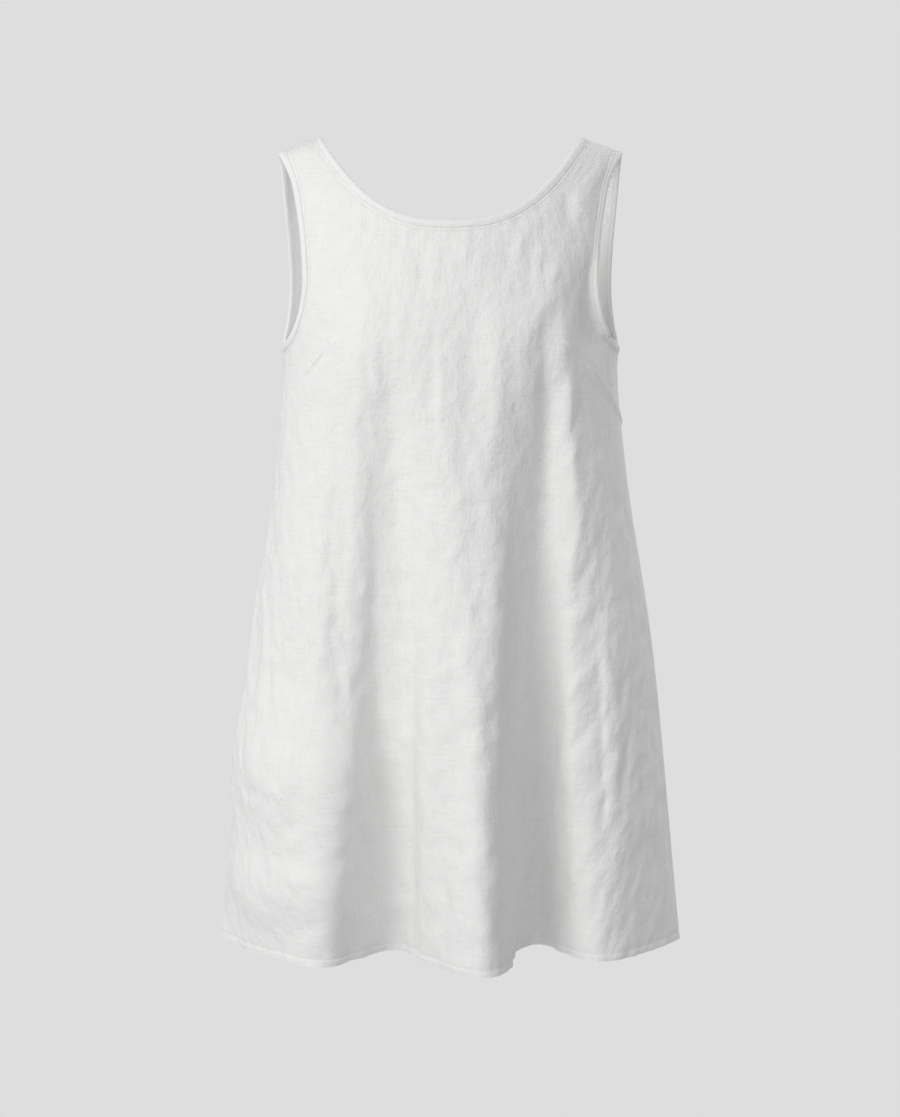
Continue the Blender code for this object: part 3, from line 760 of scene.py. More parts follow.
def add_straps(front, back):
    """Takes each strap from the front's strap row over the shoulder's crest to the seam on the back."""
    half, rear = front.half, back.half
    signs = ((-1, front.under, front.inner), (1, front.last - front.under, front.last - front.inner))

    def neck_edge(owner, height):
        x = owner.neck_x(height)
        return owner.point(owner.share_at_x(-x, height), height)

    def arm_edge(owner, height):
        return owner.point(owner.share_at(-owner.armhole_angle(height)), height)

    rise_inner = boundary_tangent(lambda z: neck_edge(half, z), STRAP_ROOT_HEIGHT)
    rise_outer = boundary_tangent(lambda z: arm_edge(half, z), STRAP_ROOT_HEIGHT)
    fall_inner = -boundary_tangent(lambda z: neck_edge(rear, z), STRAP_SEAM_HEIGHT)
    fall_outer = -boundary_tangent(lambda z: arm_edge(rear, z), STRAP_SEAM_HEIGHT)
    over = Vector((0.0, 1.0, 0.0))
    for sign, outer_column, inner_column in signs:
        step = 1 if inner_column > outer_column else -1
        for column in range(outer_column, inner_column + step, step):
            across = abs(inner_column - column) / front.grid.strap_columns
            root = front.points[column, front.strap_row]
            crest = Vector((
                sign * mix(CREST_INNER_X, CREST_OUTER_X, across),
                0.0,
                mix(CREST_INNER_HEIGHT, CREST_OUTER_HEIGHT, across)
                + CREST_CROWN * 4 * across * (1 - across),
            ))
            end_share, end_height = back.strap_root(across)
            end = rear.point(end_share, end_height)
            end.x *= -sign
            leave = mix(rise_inner, rise_outer, across).normalized()
            arrive = mix(fall_inner, fall_outer, across).normalized()
            leave.x *= -sign
            arrive.x *= -sign
            path = strap_path(root, leave, crest, over) + strap_path(crest, over, end, arrive)[1:]
            places = lengths_along(path)
            length = sum((b - a).length for a, b in zip(path, path[1:]))
            flat_x, flat_z = front.flat[column, front.strap_row]
            for row in range(1, front.grid.strap_rows + 1):
                place = row / front.grid.strap_rows
                key = (column, front.strap_row + row)
                front.points[key] = read_along(places, path, place)
                front.flat[key] = (flat_x, flat_z + place * length)


# Creases and the walls of cloth


class Cloth:
    """A panel as arrays, in one order of keys: its points, normals, flat places and quads."""

    def __init__(self, panel, folds, creases, seed):
        self.panel = panel
        self.keys = list(panel.points)
        self.index = {key: number for number, key in enumerate(self.keys)}
        self.points = np.array([panel.points[key] for key in self.keys])
        self.flat = np.array([panel.flat[key] for key in self.keys])
        self.quads = np.array([[self.index[key] for key in corners] for corners in panel.quads()])
        self.folds = folds
        self.creases = creases
        self.seed = seed
        self.find_normals()

    def find_normals(self):
        """The normal at each point, away from the wearer."""
        corner = self.points[self.quads]
        faces = np.cross(corner[:, 2] - corner[:, 0], corner[:, 3] - corner[:, 1])
        total = np.zeros_like(self.points)
        for k in range(4):
            np.add.at(total, self.quads[:, k], faces)
        total *= -self.panel.half.facing
        self.normals = total / np.linalg.norm(total, axis=1)[:, None]

    def flat_of(self, x, z):
        """The flat place of a point of the panel that is seen at x and z."""
        near = np.abs(self.points[:, 2] - z) < LEVEL_REACH
        near &= self.flat[:, 1] < self.panel.strap_height + LEVEL_REACH
        order = np.argsort(self.points[near, 0])
        return np.interp(x, self.points[near, 0][order], self.flat[near, 0][order]), z

    def fold_height(self):
        """How far the broad folds lift each point off the smooth surface."""
        total = np.zeros(len(self.keys))
        x, z = self.points[:, 0], self.points[:, 2]
        for fold in self.folds:
            place = 2 * (fold.top_z - z) / (fold.top_z - fold.bottom_z) - 1
            sway = (fold.top_x + fold.bottom_x) / 2 - fold.middle_x
            middle = fold.middle_x + place * (fold.bottom_x - fold.top_x) / 2 + place**2 * sway
            taper = np.where(np.abs(place) < 1, (1 - place**2) ** 2, 0.0)
            total += fold.depth * taper * np.exp(-(((x - middle) / fold.width) ** 2))
        return total

    def crease_height(self):
        """How far the creases lift each point off the smooth surface."""
        total = np.zeros(len(self.keys))
        for crease in self.creases:
            middle_x, middle_z = self.flat_of(crease.x, crease.z)
            lean = math.radians(crease.lean)
            x, z = self.flat[:, 0] - middle_x, self.flat[:, 1] - middle_z
            along = (x * math.sin(lean) + z * math.cos(lean)) / (crease.length / 2)
            across = x * math.cos(lean) - z * math.sin(lean) - crease.bend * along**2
            taper = np.where(np.abs(along) < 1, (1 - along**2) ** 2, 0.0)
            total += crease.depth * taper * np.exp(-((across / crease.width) ** 2))
        return total

    def ripple_height(self):
        """Slow and fast waves of an uneven cloth, calmer on the chest and the straps."""
        total = np.zeros(len(self.keys))
        crumpled = smooth_step(-self.flat[:, 1], -CRUMPLE_TOP, -CRUMPLE_FULL)
        for number, ripple in enumerate(RIPPLES):
            layer = RIPPLE_LAYERS * number + self.seed
            values = [
                noise.noise(Vector((x / ripple.across, z / ripple.along, layer))) for x, z in self.flat
            ]
            total += ripple.height * np.array(values)
        strap = smooth_step(self.flat[:, 1], STRAP_CALM_FROM, STRAP_ROOT_HEIGHT)
        return total * mix(CALM_SHARE, 1.0, crumpled) * mix(1.0, STRAP_CALM_SHARE, strap)

    def edge_calm(self):
        """0 on the seams and bound edges, rising to 1 inside the panel."""
        panel = self.panel
        calm = np.ones(len(self.keys))
        for number, (column, row) in enumerate(self.keys):
            side = min(column, panel.mirrored(column))
            if row <= panel.chest_row:
                steps = side
                if side < panel.under:
                    steps = min(side, (panel.chest_row - row) / 2)
            else:
                steps = side - panel.under
                if row <= panel.strap_row:
                    if side > panel.inner:
                        steps = min(steps, panel.strap_row - row)
                else:
                    steps = min(steps, panel.inner - side, panel.top_row - row)
            calm[number] = min(steps / EDGE_CALM, 1.0)
        return calm * calm * (3 - 2 * calm)

    def crease(self):
        calm = self.edge_calm()
        height = (self.fold_height() + self.crease_height()) * calm
        height += self.ripple_height() * calm
        height += self.hem_height()
        self.points = self.points + self.normals * height[:, None]
        self.find_normals()

    def hem_height(self):
        """How far the turned-up hem's fullness, its stitches' groove and its puckers lift each point."""
        above = self.flat[:, 1] - HEM_HEIGHT
        pucker = np.array([
            uneven(x, HEM_PUCKER_LENGTH, self.seed + HEM_LAYER) if rise < HEM_PUCKER_TOP else 0.0
            for x, rise in zip(self.flat[:, 0], above)
        ])

        def bump(height, middle, width):
            return height * np.exp(-(((above - middle) / width) ** 2))

        groove = bump(-HEM_GROOVE, HEM_STITCH_HEIGHT, HEM_GROOVE_WIDTH)
        full = bump(HEM_FULLNESS, HEM_FULL_HEIGHT, HEM_FULL_WIDTH)
        return groove + full + bump(HEM_PUCKER * pucker, HEM_STITCH_HEIGHT, HEM_PUCKER_WIDTH)


def share_seams(front, back):
    """The two panels meet in the same points, with one normal for both."""
    ahead, behind = front.panel, back.panel
    pairs = []
    for row in range(ahead.chest_row + 1):
        pairs.append(((0, row), (0, row)))
        pairs.append(((ahead.last, row), (behind.last, row)))
    for across in range(ahead.grid.strap_columns + 1):
        one, other = ahead.under + across, behind.under + across
        pairs.append(((one, ahead.top_row), (other, behind.strap_row)))
        pairs.append(((ahead.mirrored(one), ahead.top_row), (behind.mirrored(other), behind.strap_row)))
    for one, other in pairs:
        a, b = front.index[one], back.index[other]
        shared = front.normals[a] + back.normals[b]
        shared /= np.linalg.norm(shared)
        middle = (front.points[a] + back.points[b]) / 2
        front.normals[a] = back.normals[b] = shared
        front.points[a] = back.points[b] = middle


def seam_dip(cloth):
    """The outer face turns in towards a seam, so that the seam shows as a fine groove."""
    panel = cloth.panel
    dip = np.zeros(len(cloth.keys))
    for number, (column, row) in enumerate(cloth.keys):
        side = min(column, panel.mirrored(column))
        beside = side == 0 and row <= panel.chest_row
        above = row == panel.top_row and side <= panel.inner
        if beside or above:
            dip[number] = SEAM_GROOVE
    return dip


def wall_mesh(name, cloth, material):
    """The cloth as a closed thin wall, with the hem's second layer inside."""
    count = len(cloth.keys)
    turned_up = np.array([HEM_EXTRA if row < len(HEM_ROWS) - 1 else 0.0 for _, row in cloth.keys])
    outer = cloth.points + cloth.normals * (CLOTH / 2 - seam_dip(cloth))[:, None]
    inner = cloth.points - cloth.normals * (CLOTH / 2 + turned_up)[:, None]
    quads = cloth.quads if cloth.panel.half.facing < 0 else cloth.quads[:, ::-1]
    starts, ends = quads.reshape(-1), np.roll(quads, -1, axis=1).reshape(-1)
    codes, backwards = starts * count + ends, ends * count + starts
    open_edges = ~np.isin(codes, backwards)
    a, b = starts[open_edges], ends[open_edges]
    rim = np.stack([b, a, a + count, b + count], axis=1)
    faces = np.concatenate([quads, quads[:, ::-1] + count, rim])
    places = np.concatenate([cloth.flat, cloth.flat])
    return new_mesh(name, np.concatenate([outer, inner]), faces, places, material)


def new_mesh(name, points, faces, places, material, sharp=50):
    """An object from arrays. "places" gives each point's place in the flat cloth, as its UV map."""
    mesh = bpy.data.meshes.new(name)
    mesh.from_pydata(np.asarray(points).tolist(), [], np.asarray(faces).tolist())
    layer = mesh.uv_layers.new(name="flat_cloth")
    corners = np.zeros(len(mesh.loops), np.int32)
    mesh.loops.foreach_get("vertex_index", corners)
    layer.data.foreach_set("uv", np.asarray(places, np.float32)[corners].reshape(-1))
    mesh.materials.append(material)
    mesh.shade_smooth()
    mesh.set_sharp_from_angle(angle=math.radians(sharp))
    mesh.update()
    made = bpy.data.objects.new(name, mesh)
    bpy.context.scene.collection.objects.link(made)
    return made


# Edges, bindings and stitches


class Surface:
    """The two cloths as one surface that edges, stitches and darts are laid on."""

    def __init__(self, *cloths):
        points, faces = [], []
        for cloth in cloths:
            faces += (cloth.quads + len(points)).tolist()
            points += cloth.points.tolist()
        self.tree = BVHTree.FromPolygons(points, faces)

    def nearest(self, point):
        return np.array(self.tree.find_nearest(Vector(point))[0])

    def gap(self, point):
        """The distance between a point and the surface."""
        return np.linalg.norm(self.nearest(point) - point)

    def seen_in_front(self, x, z):
        """The point of the surface that is met at x and z from in front."""
        return np.array(self.tree.ray_cast(Vector((x, -1.0, z)), Vector((0.0, 1.0, 0.0)))[0])

    def normal_at(self, point):
        """The normal at a point of the surface, away from the wearer."""
        normal = np.array(self.tree.find_nearest(Vector(point))[1])
        return normal if normal[0] * point[0] + normal[1] * point[1] > 0 else -normal


def smoothed(values):
    """Each row of a closed ring drawn halfway to its neighbours' middle."""
    return (np.roll(values, 1, 0) + 2 * values + np.roll(values, -1, 0)) / 4


def even_loop(points, normals, step, closed=True):
    """A line's points, tangents and normals at an even step, and the lengths up to them.

    A closed line is smoothed a little.
    """
    points, normals = np.array(points, float), np.array(normals, float)
    if closed:
        points, normals = (np.concatenate([v, v[:1]]) for v in (points, normals))
    lengths = np.concatenate([[0.0], np.cumsum(np.linalg.norm(np.diff(points, axis=0), axis=1))])
    count = max(int(round(lengths[-1] / step)), 3)
    places = np.linspace(0.0, lengths[-1], count, endpoint=not closed)

    def read(values):
        return np.stack([np.interp(places, lengths, values[:, k]) for k in range(values.shape[1])], axis=1)

    points, normals = read(points), read(normals)
    if closed:
        for _ in range(LOOP_SMOOTHING):
            points, normals = smoothed(points), smoothed(normals)
        along = np.roll(points, -1, 0) - np.roll(points, 1, 0)
    else:
        along = np.gradient(points, axis=0)
    along /= np.linalg.norm(along, axis=1)[:, None]
    normals -= along * np.sum(normals * along, axis=1)[:, None]
    normals /= np.linalg.norm(normals, axis=1)[:, None]
    return points, along, normals, places


def edge_values(cloth_keys):
    """Points and normals at a list of (cloth, key)."""
    numbers = [(cloth, cloth.index[key]) for cloth, key in cloth_keys]
    return [cloth.points[k] for cloth, k in numbers], [cloth.normals[k] for cloth, k in numbers]


def armhole_edge(front, back, left):
    """The armhole's edge as (cloth, key), once round."""

    def keys(cloth):
        panel = cloth.panel

        def side(column):
            return column if left else panel.mirrored(column)

        found = [(cloth, (side(column), panel.chest_row)) for column in range(panel.under)]
        rows = range(panel.chest_row, panel.top_row + 1)
        return found + [(cloth, (side(panel.under), row)) for row in rows]

    return keys(front) + keys(back)[-2:0:-1]


def neck_edge(front, back):
    """The neck's edge as (cloth, key), once round."""
    panel, rear = front.panel, back.panel

    def strap(column):
        return [(front, (column, row)) for row in range(panel.strap_row + 1, panel.top_row + 1)]

    found = strap(panel.inner)[::-1]
    found += [(front, (c, panel.strap_row)) for c in range(panel.inner, panel.mirrored(panel.inner) + 1)]
    found += strap(panel.mirrored(panel.inner))
    columns = range(rear.mirrored(rear.inner) - 1, rear.inner, -1)
    return found + [(back, (column, rear.strap_row)) for column in columns]


class Edge:
    """A bound edge: its even points, and which way leads into the cloth."""

    def __init__(self, cloth_keys, surface):
        self.surface = surface
        self.points, along, self.normals, self.places = even_loop(*edge_values(cloth_keys), LOOP_STEP)
        self.length = self.places[-1] + LOOP_STEP
        inward = np.cross(self.normals, along)
        # The cloth lies on the side of the edge where the surface goes on.
        inside, outside = (self.points[0] + inward[0] * depth for depth in (PROBE_DEPTH, -PROBE_DEPTH))
        self.inward = inward if surface.gap(inside) <= surface.gap(outside) else -inward

    def at(self, number, depth, lift):
        """A point at a depth into the cloth from the edge, lifted off its middle."""
        start = self.points[number] + self.inward[number] * depth
        if depth > 0:
            start = self.surface.nearest(start)
        return start + self.normals[number] * lift


def binding_profile():
    """(depth into the cloth, lift off its middle), once round the folded strip's section."""
    near = CLOTH / 2 + BINDING_GAP
    outer = [(depth, near + lift) for depth, lift in BINDING_OUTLINE]
    inner = [(depth, -lift) for depth, lift in reversed(outer)]
    return [*outer, (BINDING_FOLD, 0.0), *inner, (BINDING_HOLLOW, -near), (BINDING_HOLLOW, near)]


def add_binding(name, edge, material):
    """The binding as one closed ring over an edge, with small puckers between its stitches."""
    profile = binding_profile()
    count = len(edge.points)
    points, places = [], []
    for number in range(count):
        place = edge.places[number]
        swell = 1 + BINDING_SWELL * uneven(place, BINDING_SWELL_LENGTH, SWELL_LAYER)
        widen = BINDING_SWAY * uneven(place, BINDING_SWAY_LENGTH, SWAY_LAYER)
        tight = 0.5 - 0.5 * math.cos(2 * math.pi * place / STITCH_PITCH)
        for depth, lift in profile:
            reach = depth + (widen if depth > EDGE_STITCH else 0.0)
            rise = lift * swell if 0 < depth < EDGE_STITCH else lift
            if abs(depth - EDGE_STITCH) < BINDING_PULL_REACH:
                rise -= math.copysign(BINDING_PULL * tight, lift)
            points.append(edge.at(number, reach, rise))
            places.append((place, depth + lift))
    faces = tube_faces(count, len(profile), closed=True)
    return new_mesh(name, points, outward(points, faces), places, material, sharp=60)


def tube_faces(rings, size, closed=False):
    """Quads between the rings of a tube, each ring of the same size, and back to the first if closed."""
    faces = []
    for ring in range(rings if closed else rings - 1):
        here, there = ring * size, (ring + 1) % rings * size
        for k in range(size):
            after = (k + 1) % size
            faces.append((here + k, here + after, there + after, there + k))
    return faces


def outward(points, faces):
    """The faces of a closed mesh, turned so that they face out."""
    points, faces = np.array(points), np.array(faces)
    a, b, c, d = (points[faces[:, k]] for k in range(4))
    volume = np.sum(np.cross(b - a, c - a) * a) + np.sum(np.cross(c - a, d - a) * a)
    return faces if volume > 0 else faces[:, ::-1]


def stitch_points(middle, along, up):
    """One stitch as a short bowed tube whose ends go into the cloth."""
    side = np.cross(along, up)
    points = []
    for share, size, rise in STITCH_BOWS:
        centre = middle + along * share * STITCH_LENGTH + up * rise * STITCH_RADIUS
        for k in range(STITCH_RING):
            turn = 2 * math.pi * k / STITCH_RING
            points.append(centre + (side * math.cos(turn) + up * math.sin(turn)) * STITCH_RADIUS * size)
    return points


def stitch_ends():
    """Two quads across each end of a stitch."""
    last = (len(STITCH_BOWS) - 1) * STITCH_RING
    half = STITCH_RING // 2
    faces = []
    for start, turn in ((0, -1), (last, 1)):
        ring = [start + k for k in range(STITCH_RING)]
        faces += [tuple(q[::turn]) for q in (ring[:half + 1], [ring[0], *ring[half:]])]
    return faces


def add_stitches(name, rows, material):
    """All stitches of one seam as one mesh. "rows" lists (middle, along, up) for each stitch."""
    pattern = tube_faces(len(STITCH_BOWS), STITCH_RING) + stitch_ends()
    size = STITCH_RING * len(STITCH_BOWS)
    points, places, faces = [], [], []
    for number, (middle, along, up) in enumerate(rows):
        points += stitch_points(middle, along, up)
        for share, _, _ in STITCH_BOWS:
            for k in range(STITCH_RING):
                places.append(((number + share) * STITCH_LENGTH, k * STITCH_RADIUS))
        faces += [tuple(corner + number * size for corner in face) for face in pattern]
    return new_mesh(name, points, faces, places, material, sharp=80)


def edge_stitches(edge, depth, lift):
    """A row of stitches at a depth into the cloth, on one face of it."""
    rows = []
    for k in range(int(edge.length / STITCH_PITCH)):
        place = k * STITCH_PITCH / edge.length * len(edge.points)
        number = int(place)
        middle = edge.at(number, depth, lift)
        along = edge.at((number + 1) % len(edge.points), depth, lift) - middle
        up = edge.normals[number] * math.copysign(1.0, lift)
        rows.append((middle + along * (place - number), along / np.linalg.norm(along), up))
    return rows


def hem_stitches(cloth, inside):
    """The row of stitches that holds the hem, on the outer or the inner face."""
    row = HEM_ROWS.index(HEM_STITCH_HEIGHT)
    keys = [(cloth, (column, row)) for column in range(cloth.panel.last + 1)]
    points, along, normals, _ = even_loop(*edge_values(keys), STITCH_PITCH, closed=False)
    lift = -(CLOTH / 2 + HEM_EXTRA) if inside else CLOTH / 2
    up = -normals if inside else normals
    return [(points[k] + normals[k] * lift, along[k], up[k]) for k in range(1, len(points) - 1)]


def dart_line(surface, side):
    """The dart's seam line on the cloth, from the side seam to its tip."""
    start, middle, tip = (np.array((side * x, z)) for x, z in (DART_START, DART_MIDDLE, DART_TIP))
    shares = np.linspace(0.0, 1.0, DART_STEPS + 1)[:, None]
    line = start * (1 - shares) ** 2 + middle * 2 * shares * (1 - shares) + tip * shares**2
    seen = [surface.seen_in_front(x, z) for x, z in line]
    seam = np.array((side * section_value("half_width", DART_SEAM_HEIGHT), 0.0, DART_SEAM_HEIGHT))
    lead = [surface.nearest(mix(seam, seen[0], k / DART_SEAM_STEPS)) for k in range(DART_SEAM_STEPS)]
    return np.array(lead + seen)


def add_dart(name, surface, side, material):
    """The sewn fold of a bust dart: a lap of cloth whose edge lies along the seam line."""
    spots = dart_line(surface, side)
    along = np.gradient(spots, axis=0)
    bed = CLOTH / 2 - DART_SUNK
    points, places = [], []
    for spot, forward, share in zip(spots, along, np.linspace(0.0, 1.0, len(spots))):
        up = np.cross(surface.normal_at(spot), forward) * side
        up /= np.linalg.norm(up)
        fade = min(1.0, (1 - share) * DART_TIP_FADE, DART_SEAM_SHARE + share * DART_SEAM_FADE)
        fade = fade**DART_FADE_POWER
        lap = DART_LAP * mix(DART_END_WIDTH, 1.0, fade)
        section = [(reach, bed + DART_EDGE + lift * DART_LIP * fade) for reach, lift in DART_PROFILE]
        section += [(reach, bed) for reach, _ in reversed(DART_PROFILE[1:-1])]
        for reach, lift in section:
            foot = surface.nearest(spot + up * reach * lap)
            points.append(foot + surface.normal_at(foot) * lift)
            places.append((share * DART_WEAVE_LENGTH, reach * lap))
    size = 2 * len(DART_PROFILE) - 2
    last = (len(spots) - 1) * size
    faces = tube_faces(len(spots), size)
    # Each end is closed by quads between its upper and its lower points.
    for k in range(size // 2 - 1):
        mirror = (size - k) % size
        faces.append((k, mirror, size - k - 1, k + 1))
        faces.append((last + k, last + k + 1, last + size - k - 1, last + mirror))
    return new_mesh(name, points, outward(points, faces), places, material)


# Materials


class Nodes:
    """A small helper that adds and joins a material's shader nodes."""

    def __init__(self, name):
        self.material = bpy.data.materials.new(name)
        self.material.use_nodes = True
        self.tree = self.material.node_tree
        self.shader = self.tree.nodes["Principled BSDF"]

    def add(self, kind, **settings):
        node = self.tree.nodes.new(kind)
        for name, value in settings.items():
            setattr(node, name, value)
        return node

    def join(self, source, target):
        self.tree.links.new(source, target)

    def flat_place(self):
        """The place in the flat cloth, in metres across and along."""
        place = self.add("ShaderNodeUVMap", uv_map="flat_cloth")
        split = self.add("ShaderNodeSeparateXYZ")
        self.join(place.outputs[0], split.inputs[0])
        return split.outputs["X"], split.outputs["Y"]

    def math(self, operation, *values):
        node = self.add("ShaderNodeMath", operation=operation)
        for socket, value in zip(node.inputs, values):
            if isinstance(value, (int, float)):
                socket.default_value = value
            else:
                self.join(value, socket)
        return node.outputs[0]

    def noise_at(self, u, v, cells, detail=2.0):
        """Noise over the flat cloth, with so many cells a metre each way."""
        place = self.add("ShaderNodeCombineXYZ")
        self.join(self.math("MULTIPLY", u, cells[0]), place.inputs["X"])
        self.join(self.math("MULTIPLY", v, cells[1]), place.inputs["Y"])
        node = self.add("ShaderNodeTexNoise")
        node.inputs["Scale"].default_value = 1.0
        node.inputs["Detail"].default_value = detail
        self.join(place.outputs[0], node.inputs["Vector"])
        return node.outputs["Fac"]

    def bump(self, height):
        """Relief of so many metres."""
        node = self.add("ShaderNodeBump")
        node.inputs["Strength"].default_value = 1.0
        node.inputs["Distance"].default_value = 1.0
        self.join(height, node.inputs["Height"])
        self.join(node.outputs[0], self.shader.inputs["Normal"])

    def colour(self, value, dark, light, start=0.0):
        """Base colour from dark at the starting value to light at 1."""
        node = self.add("ShaderNodeValToRGB")
        low, high = node.color_ramp.elements
        low.position = start
        low.color = (*dark, 1.0)
        high.color = (*light, 1.0)
        self.join(value, node.inputs[0])
        self.join(node.outputs[0], self.shader.inputs["Base Color"])

    def surface(self, **values):
        """Sets the shader's own sockets, named with _ for spaces, and returns the finished material."""
        for name, value in values.items():
            self.shader.inputs[name.replace("_", " ")].default_value = value
        return self.material


def linen_material(kind):
    """Plain-woven linen: threads both ways, thick and thin stretches of thread, and small creases."""
    nodes = Nodes(kind.name)
    u, v = nodes.flat_place()
    threads = 2 * math.pi / WEAVE_PITCH
    warp = nodes.math("SINE", nodes.math("MULTIPLY", u, threads))
    weft = nodes.math("SINE", nodes.math("MULTIPLY", v, threads))
    slub = nodes.math("ADD", nodes.noise_at(u, v, WARP_SLUBS), nodes.noise_at(u, v, WEFT_SLUBS))
    crumples = nodes.math(
        "ADD",
        nodes.noise_at(u, v, CRUMPLES, detail=CRUMPLE_DETAIL),
        nodes.math("MULTIPLY", nodes.noise_at(u, v, FINE_CRUMPLES), FINE_CRUMPLE_SHARE),
    )
    thread_height = nodes.math("MULTIPLY", nodes.math("MULTIPLY", warp, weft), WEAVE_HEIGHT)
    slub_height = nodes.math("MULTIPLY", slub, SLUB_HEIGHT * kind.slub_share)
    crumple_height = nodes.math("MULTIPLY", crumples, kind.crumple_height)
    nodes.bump(nodes.math("ADD", nodes.math("ADD", thread_height, slub_height), crumple_height))
    nodes.colour(slub, kind.dark, kind.light, start=SLUB_COLOUR_START)
    return nodes.surface(Roughness=0.92, Specular_IOR_Level=0.25, Sheen_Weight=0.10, Sheen_Roughness=0.5)


def thread_material(name):
    """Sewing thread: two plies twisted together, painted darker in the grooves between them as shade."""
    nodes = Nodes(name)
    u, v = nodes.flat_place()
    twist = nodes.math("SINE", nodes.math("MULTIPLY", nodes.math("ADD", u, v), 2 * math.pi / PLY_PITCH))
    nodes.bump(nodes.math("MULTIPLY", twist, PLY_HEIGHT))
    # The colour follows the twist: painted shade in the grooves between the plies, the thread's own white on
    # their crests
    share = nodes.math("MULTIPLY", nodes.math("ADD", twist, 1.0), 0.5)
    nodes.colour(share, THREAD_GROOVE_SHADE, THREAD_LIGHT)
    return nodes.surface(Roughness=0.55)


def plain_glow(name, colour):
    """The studio's even backdrop."""
    material = bpy.data.materials.new(name)
    material.use_nodes = True
    tree = material.node_tree
    tree.nodes.remove(tree.nodes["Principled BSDF"])
    glow = tree.nodes.new("ShaderNodeEmission")
    glow.inputs["Color"].default_value = (*colour, 1.0)
    tree.links.new(glow.outputs[0], tree.nodes["Material Output"].inputs["Surface"])
    return material


# Studio


def sky_light():
    """Even light from all round, a little stronger from the window's side."""
    world = bpy.data.worlds.new("studio")
    world.use_nodes = True
    tree = world.node_tree
    direction = tree.nodes.new("ShaderNodeTexCoord")
    facing = tree.nodes.new("ShaderNodeVectorMath")
    facing.operation = "DOT_PRODUCT"
    facing.inputs[1].default_value = SKY_AIM
    strength = tree.nodes.new("ShaderNodeMath")
    strength.operation = "MULTIPLY_ADD"
    strength.inputs[1].default_value = SKY_STRENGTH * SKY_SLOPE
    strength.inputs[2].default_value = SKY_STRENGTH
    sky = tree.nodes["Background"]
    sky.inputs["Color"].default_value = (*SKY, 1.0)
    tree.links.new(direction.outputs["Generated"], facing.inputs[0])
    tree.links.new(facing.outputs["Value"], strength.inputs[0])
    tree.links.new(strength.outputs[0], sky.inputs["Strength"])
    return world


def area_lamp(lamp):
    """A round soft lamp that shines at its aim and is itself unseen."""
    light = bpy.data.lights.new(lamp.name, "AREA")
    light.shape = "DISK"
    light.size = lamp.size
    light.energy = lamp.power
    light.color = lamp.colour
    made = bpy.data.objects.new(lamp.name, light)
    made.location = lamp.place
    made.rotation_euler = (Vector(lamp.aim) - made.location).to_track_quat("-Z", "Y").to_euler()
    made.visible_camera = False
    return made


def add_studio():
    """A plain pale room: its even light, the lamps, the backdrop and the floor."""
    scene = bpy.context.scene
    scene.view_settings.view_transform = "Standard"
    scene.view_settings.look = "None"
    scene.world = sky_light()
    for lamp in LAMPS:
        scene.collection.objects.link(area_lamp(lamp))
    glow = plain_glow("studio backdrop", BACKDROP)
    bpy.ops.mesh.primitive_uv_sphere_add(
        segments=STUDIO_SEGMENTS, ring_count=STUDIO_SEGMENTS // 2, radius=STUDIO_RADIUS
    )
    dome = bpy.context.object
    dome.name = "backdrop"
    bpy.ops.mesh.primitive_circle_add(
        vertices=STUDIO_SEGMENTS, radius=STUDIO_RADIUS * FLOOR_SHARE, fill_type="NGON"
    )
    floor = bpy.context.object
    floor.name = "floor"
    floor.location.z = FLOOR_HEIGHT
    for piece in (dome, floor):
        piece.data.materials.append(glow)
        piece.visible_diffuse = False
        piece.visible_glossy = False
        piece.visible_shadow = False


def add_camera():
    camera = bpy.data.cameras.new("camera")
    camera.lens = CAMERA_LENS
    camera.sensor_width = CAMERA_SENSOR
    made = bpy.data.objects.new("camera", camera)
    made.location = CAMERA_PLACE
    made.rotation_euler = (math.radians(90 - CAMERA_PITCH), 0.0, 0.0)
    bpy.context.scene.collection.objects.link(made)
    bpy.context.scene.camera = made


# The dress


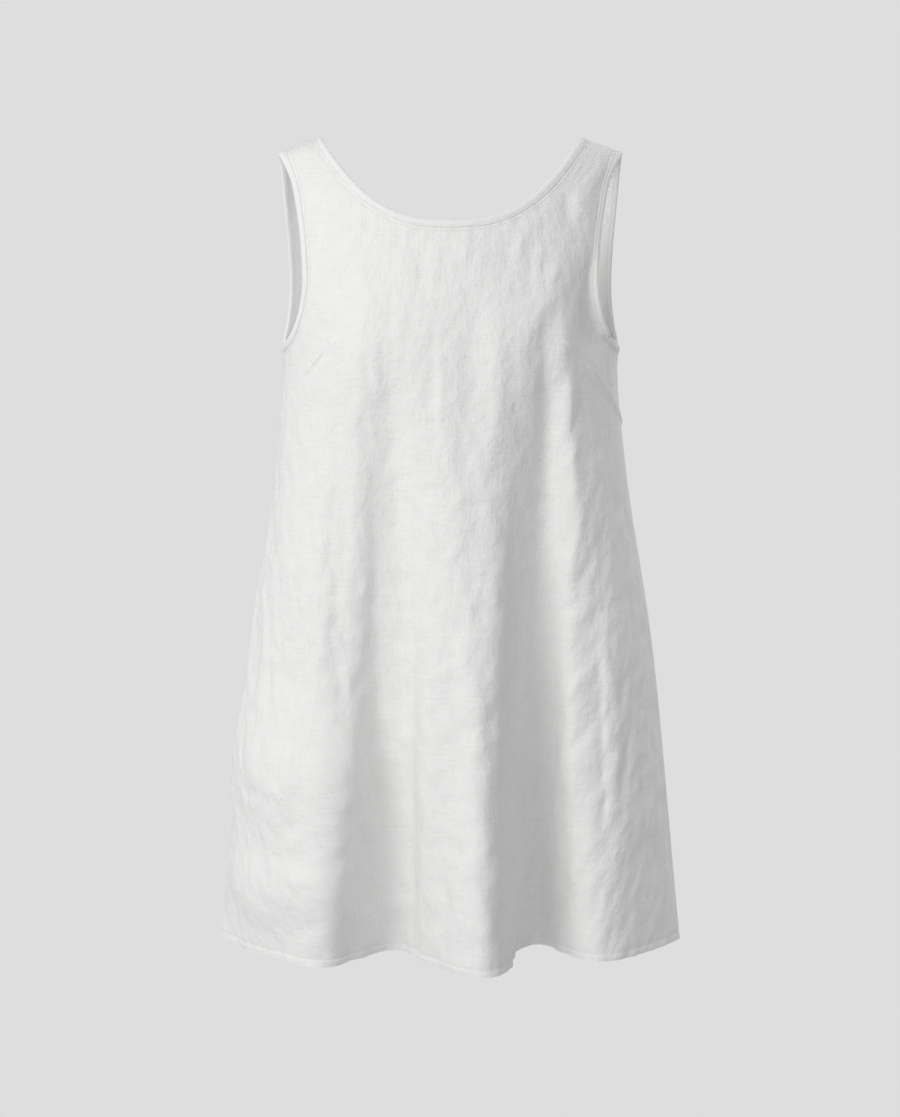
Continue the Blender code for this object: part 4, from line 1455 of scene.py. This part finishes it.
def shaped_cloths():
    """The front and the back cloth in their final shape, joined at the seams."""
    front_half = Half(-1, "front_depth", FRONT_HEM, FRONT_ARMHOLE, FRONT_NECK_HEIGHT, FRONT_NECK_POWER)
    back_half = Half(1, "back_depth", BACK_HEM, BACK_ARMHOLE, BACK_NECK_HEIGHT, BACK_NECK_POWER)
    front_panel = Panel(front_half, FRONT_GRID, STRAP_ROOT_HEIGHT)
    back_panel = Panel(back_half, BACK_GRID, STRAP_SEAM_HEIGHT)
    add_straps(front_panel, back_panel)
    front = Cloth(front_panel, FRONT_FOLDS, FRONT_CREASES, FRONT_SEED)
    back = Cloth(back_panel, BACK_FOLDS, BACK_CREASES, BACK_SEED)
    share_seams(front, back)
    front.crease()
    back.crease()
    share_seams(front, back)
    return front, back


def clear_startup():
    """Removes the objects that a new file begins with."""
    for name in ("Cube", "Light", "Camera"):
        if name in bpy.data.objects:
            bpy.data.objects.remove(bpy.data.objects[name], do_unlink=True)


def main():
    clear_startup()
    add_camera()
    add_studio()
    front, back = shaped_cloths()
    linen = linen_material(BODY_LINEN)
    # The bindings get the body's linen painted lighter, as painted light against their own shade
    edging = linen_material(LIGHTENED_EDGING_LINEN)
    thread = thread_material("white sewing thread")

    front_cloth = wall_mesh("front_cloth", front, linen)
    back_cloth = wall_mesh("back_cloth", back, linen)
    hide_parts("front_panel")
    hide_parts("back_panel")

    surface = Surface(front, back)
    face = CLOTH / 2
    on_strip = face + BINDING_GAP + STITCHED_HEIGHT
    edges = (
        ("neck", neck_edge(front, back)),
        ("left_armhole", armhole_edge(front, back, True)),
        ("right_armhole", armhole_edge(front, back, False)),
    )
    trims, seams = [], []
    for name, keys in edges:
        edge = Edge(keys, surface)
        strip = add_binding(name + "_edging", edge, edging)
        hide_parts(name + "_binding")
        trims.append(strip)
        rows = edge_stitches(edge, EDGE_STITCH, on_strip)
        rows += edge_stitches(edge, EDGE_STITCH, -on_strip)
        rows += edge_stitches(edge, SECOND_STITCH, face)
        seams.append(add_stitches(name + "_stitches", rows, thread))
    rows = []
    for cloth in (front, back):
        rows += hem_stitches(cloth, False) + hem_stitches(cloth, True)
    seams.append(add_stitches("hem_stitches", rows, thread))
    darts = [
        add_dart("left_dart", surface, -1, linen),
        add_dart("right_dart", surface, 1, linen),
    ]

    for piece in (front_cloth, back_cloth, *trims, *seams, *darts):
        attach(piece, "root")


main()
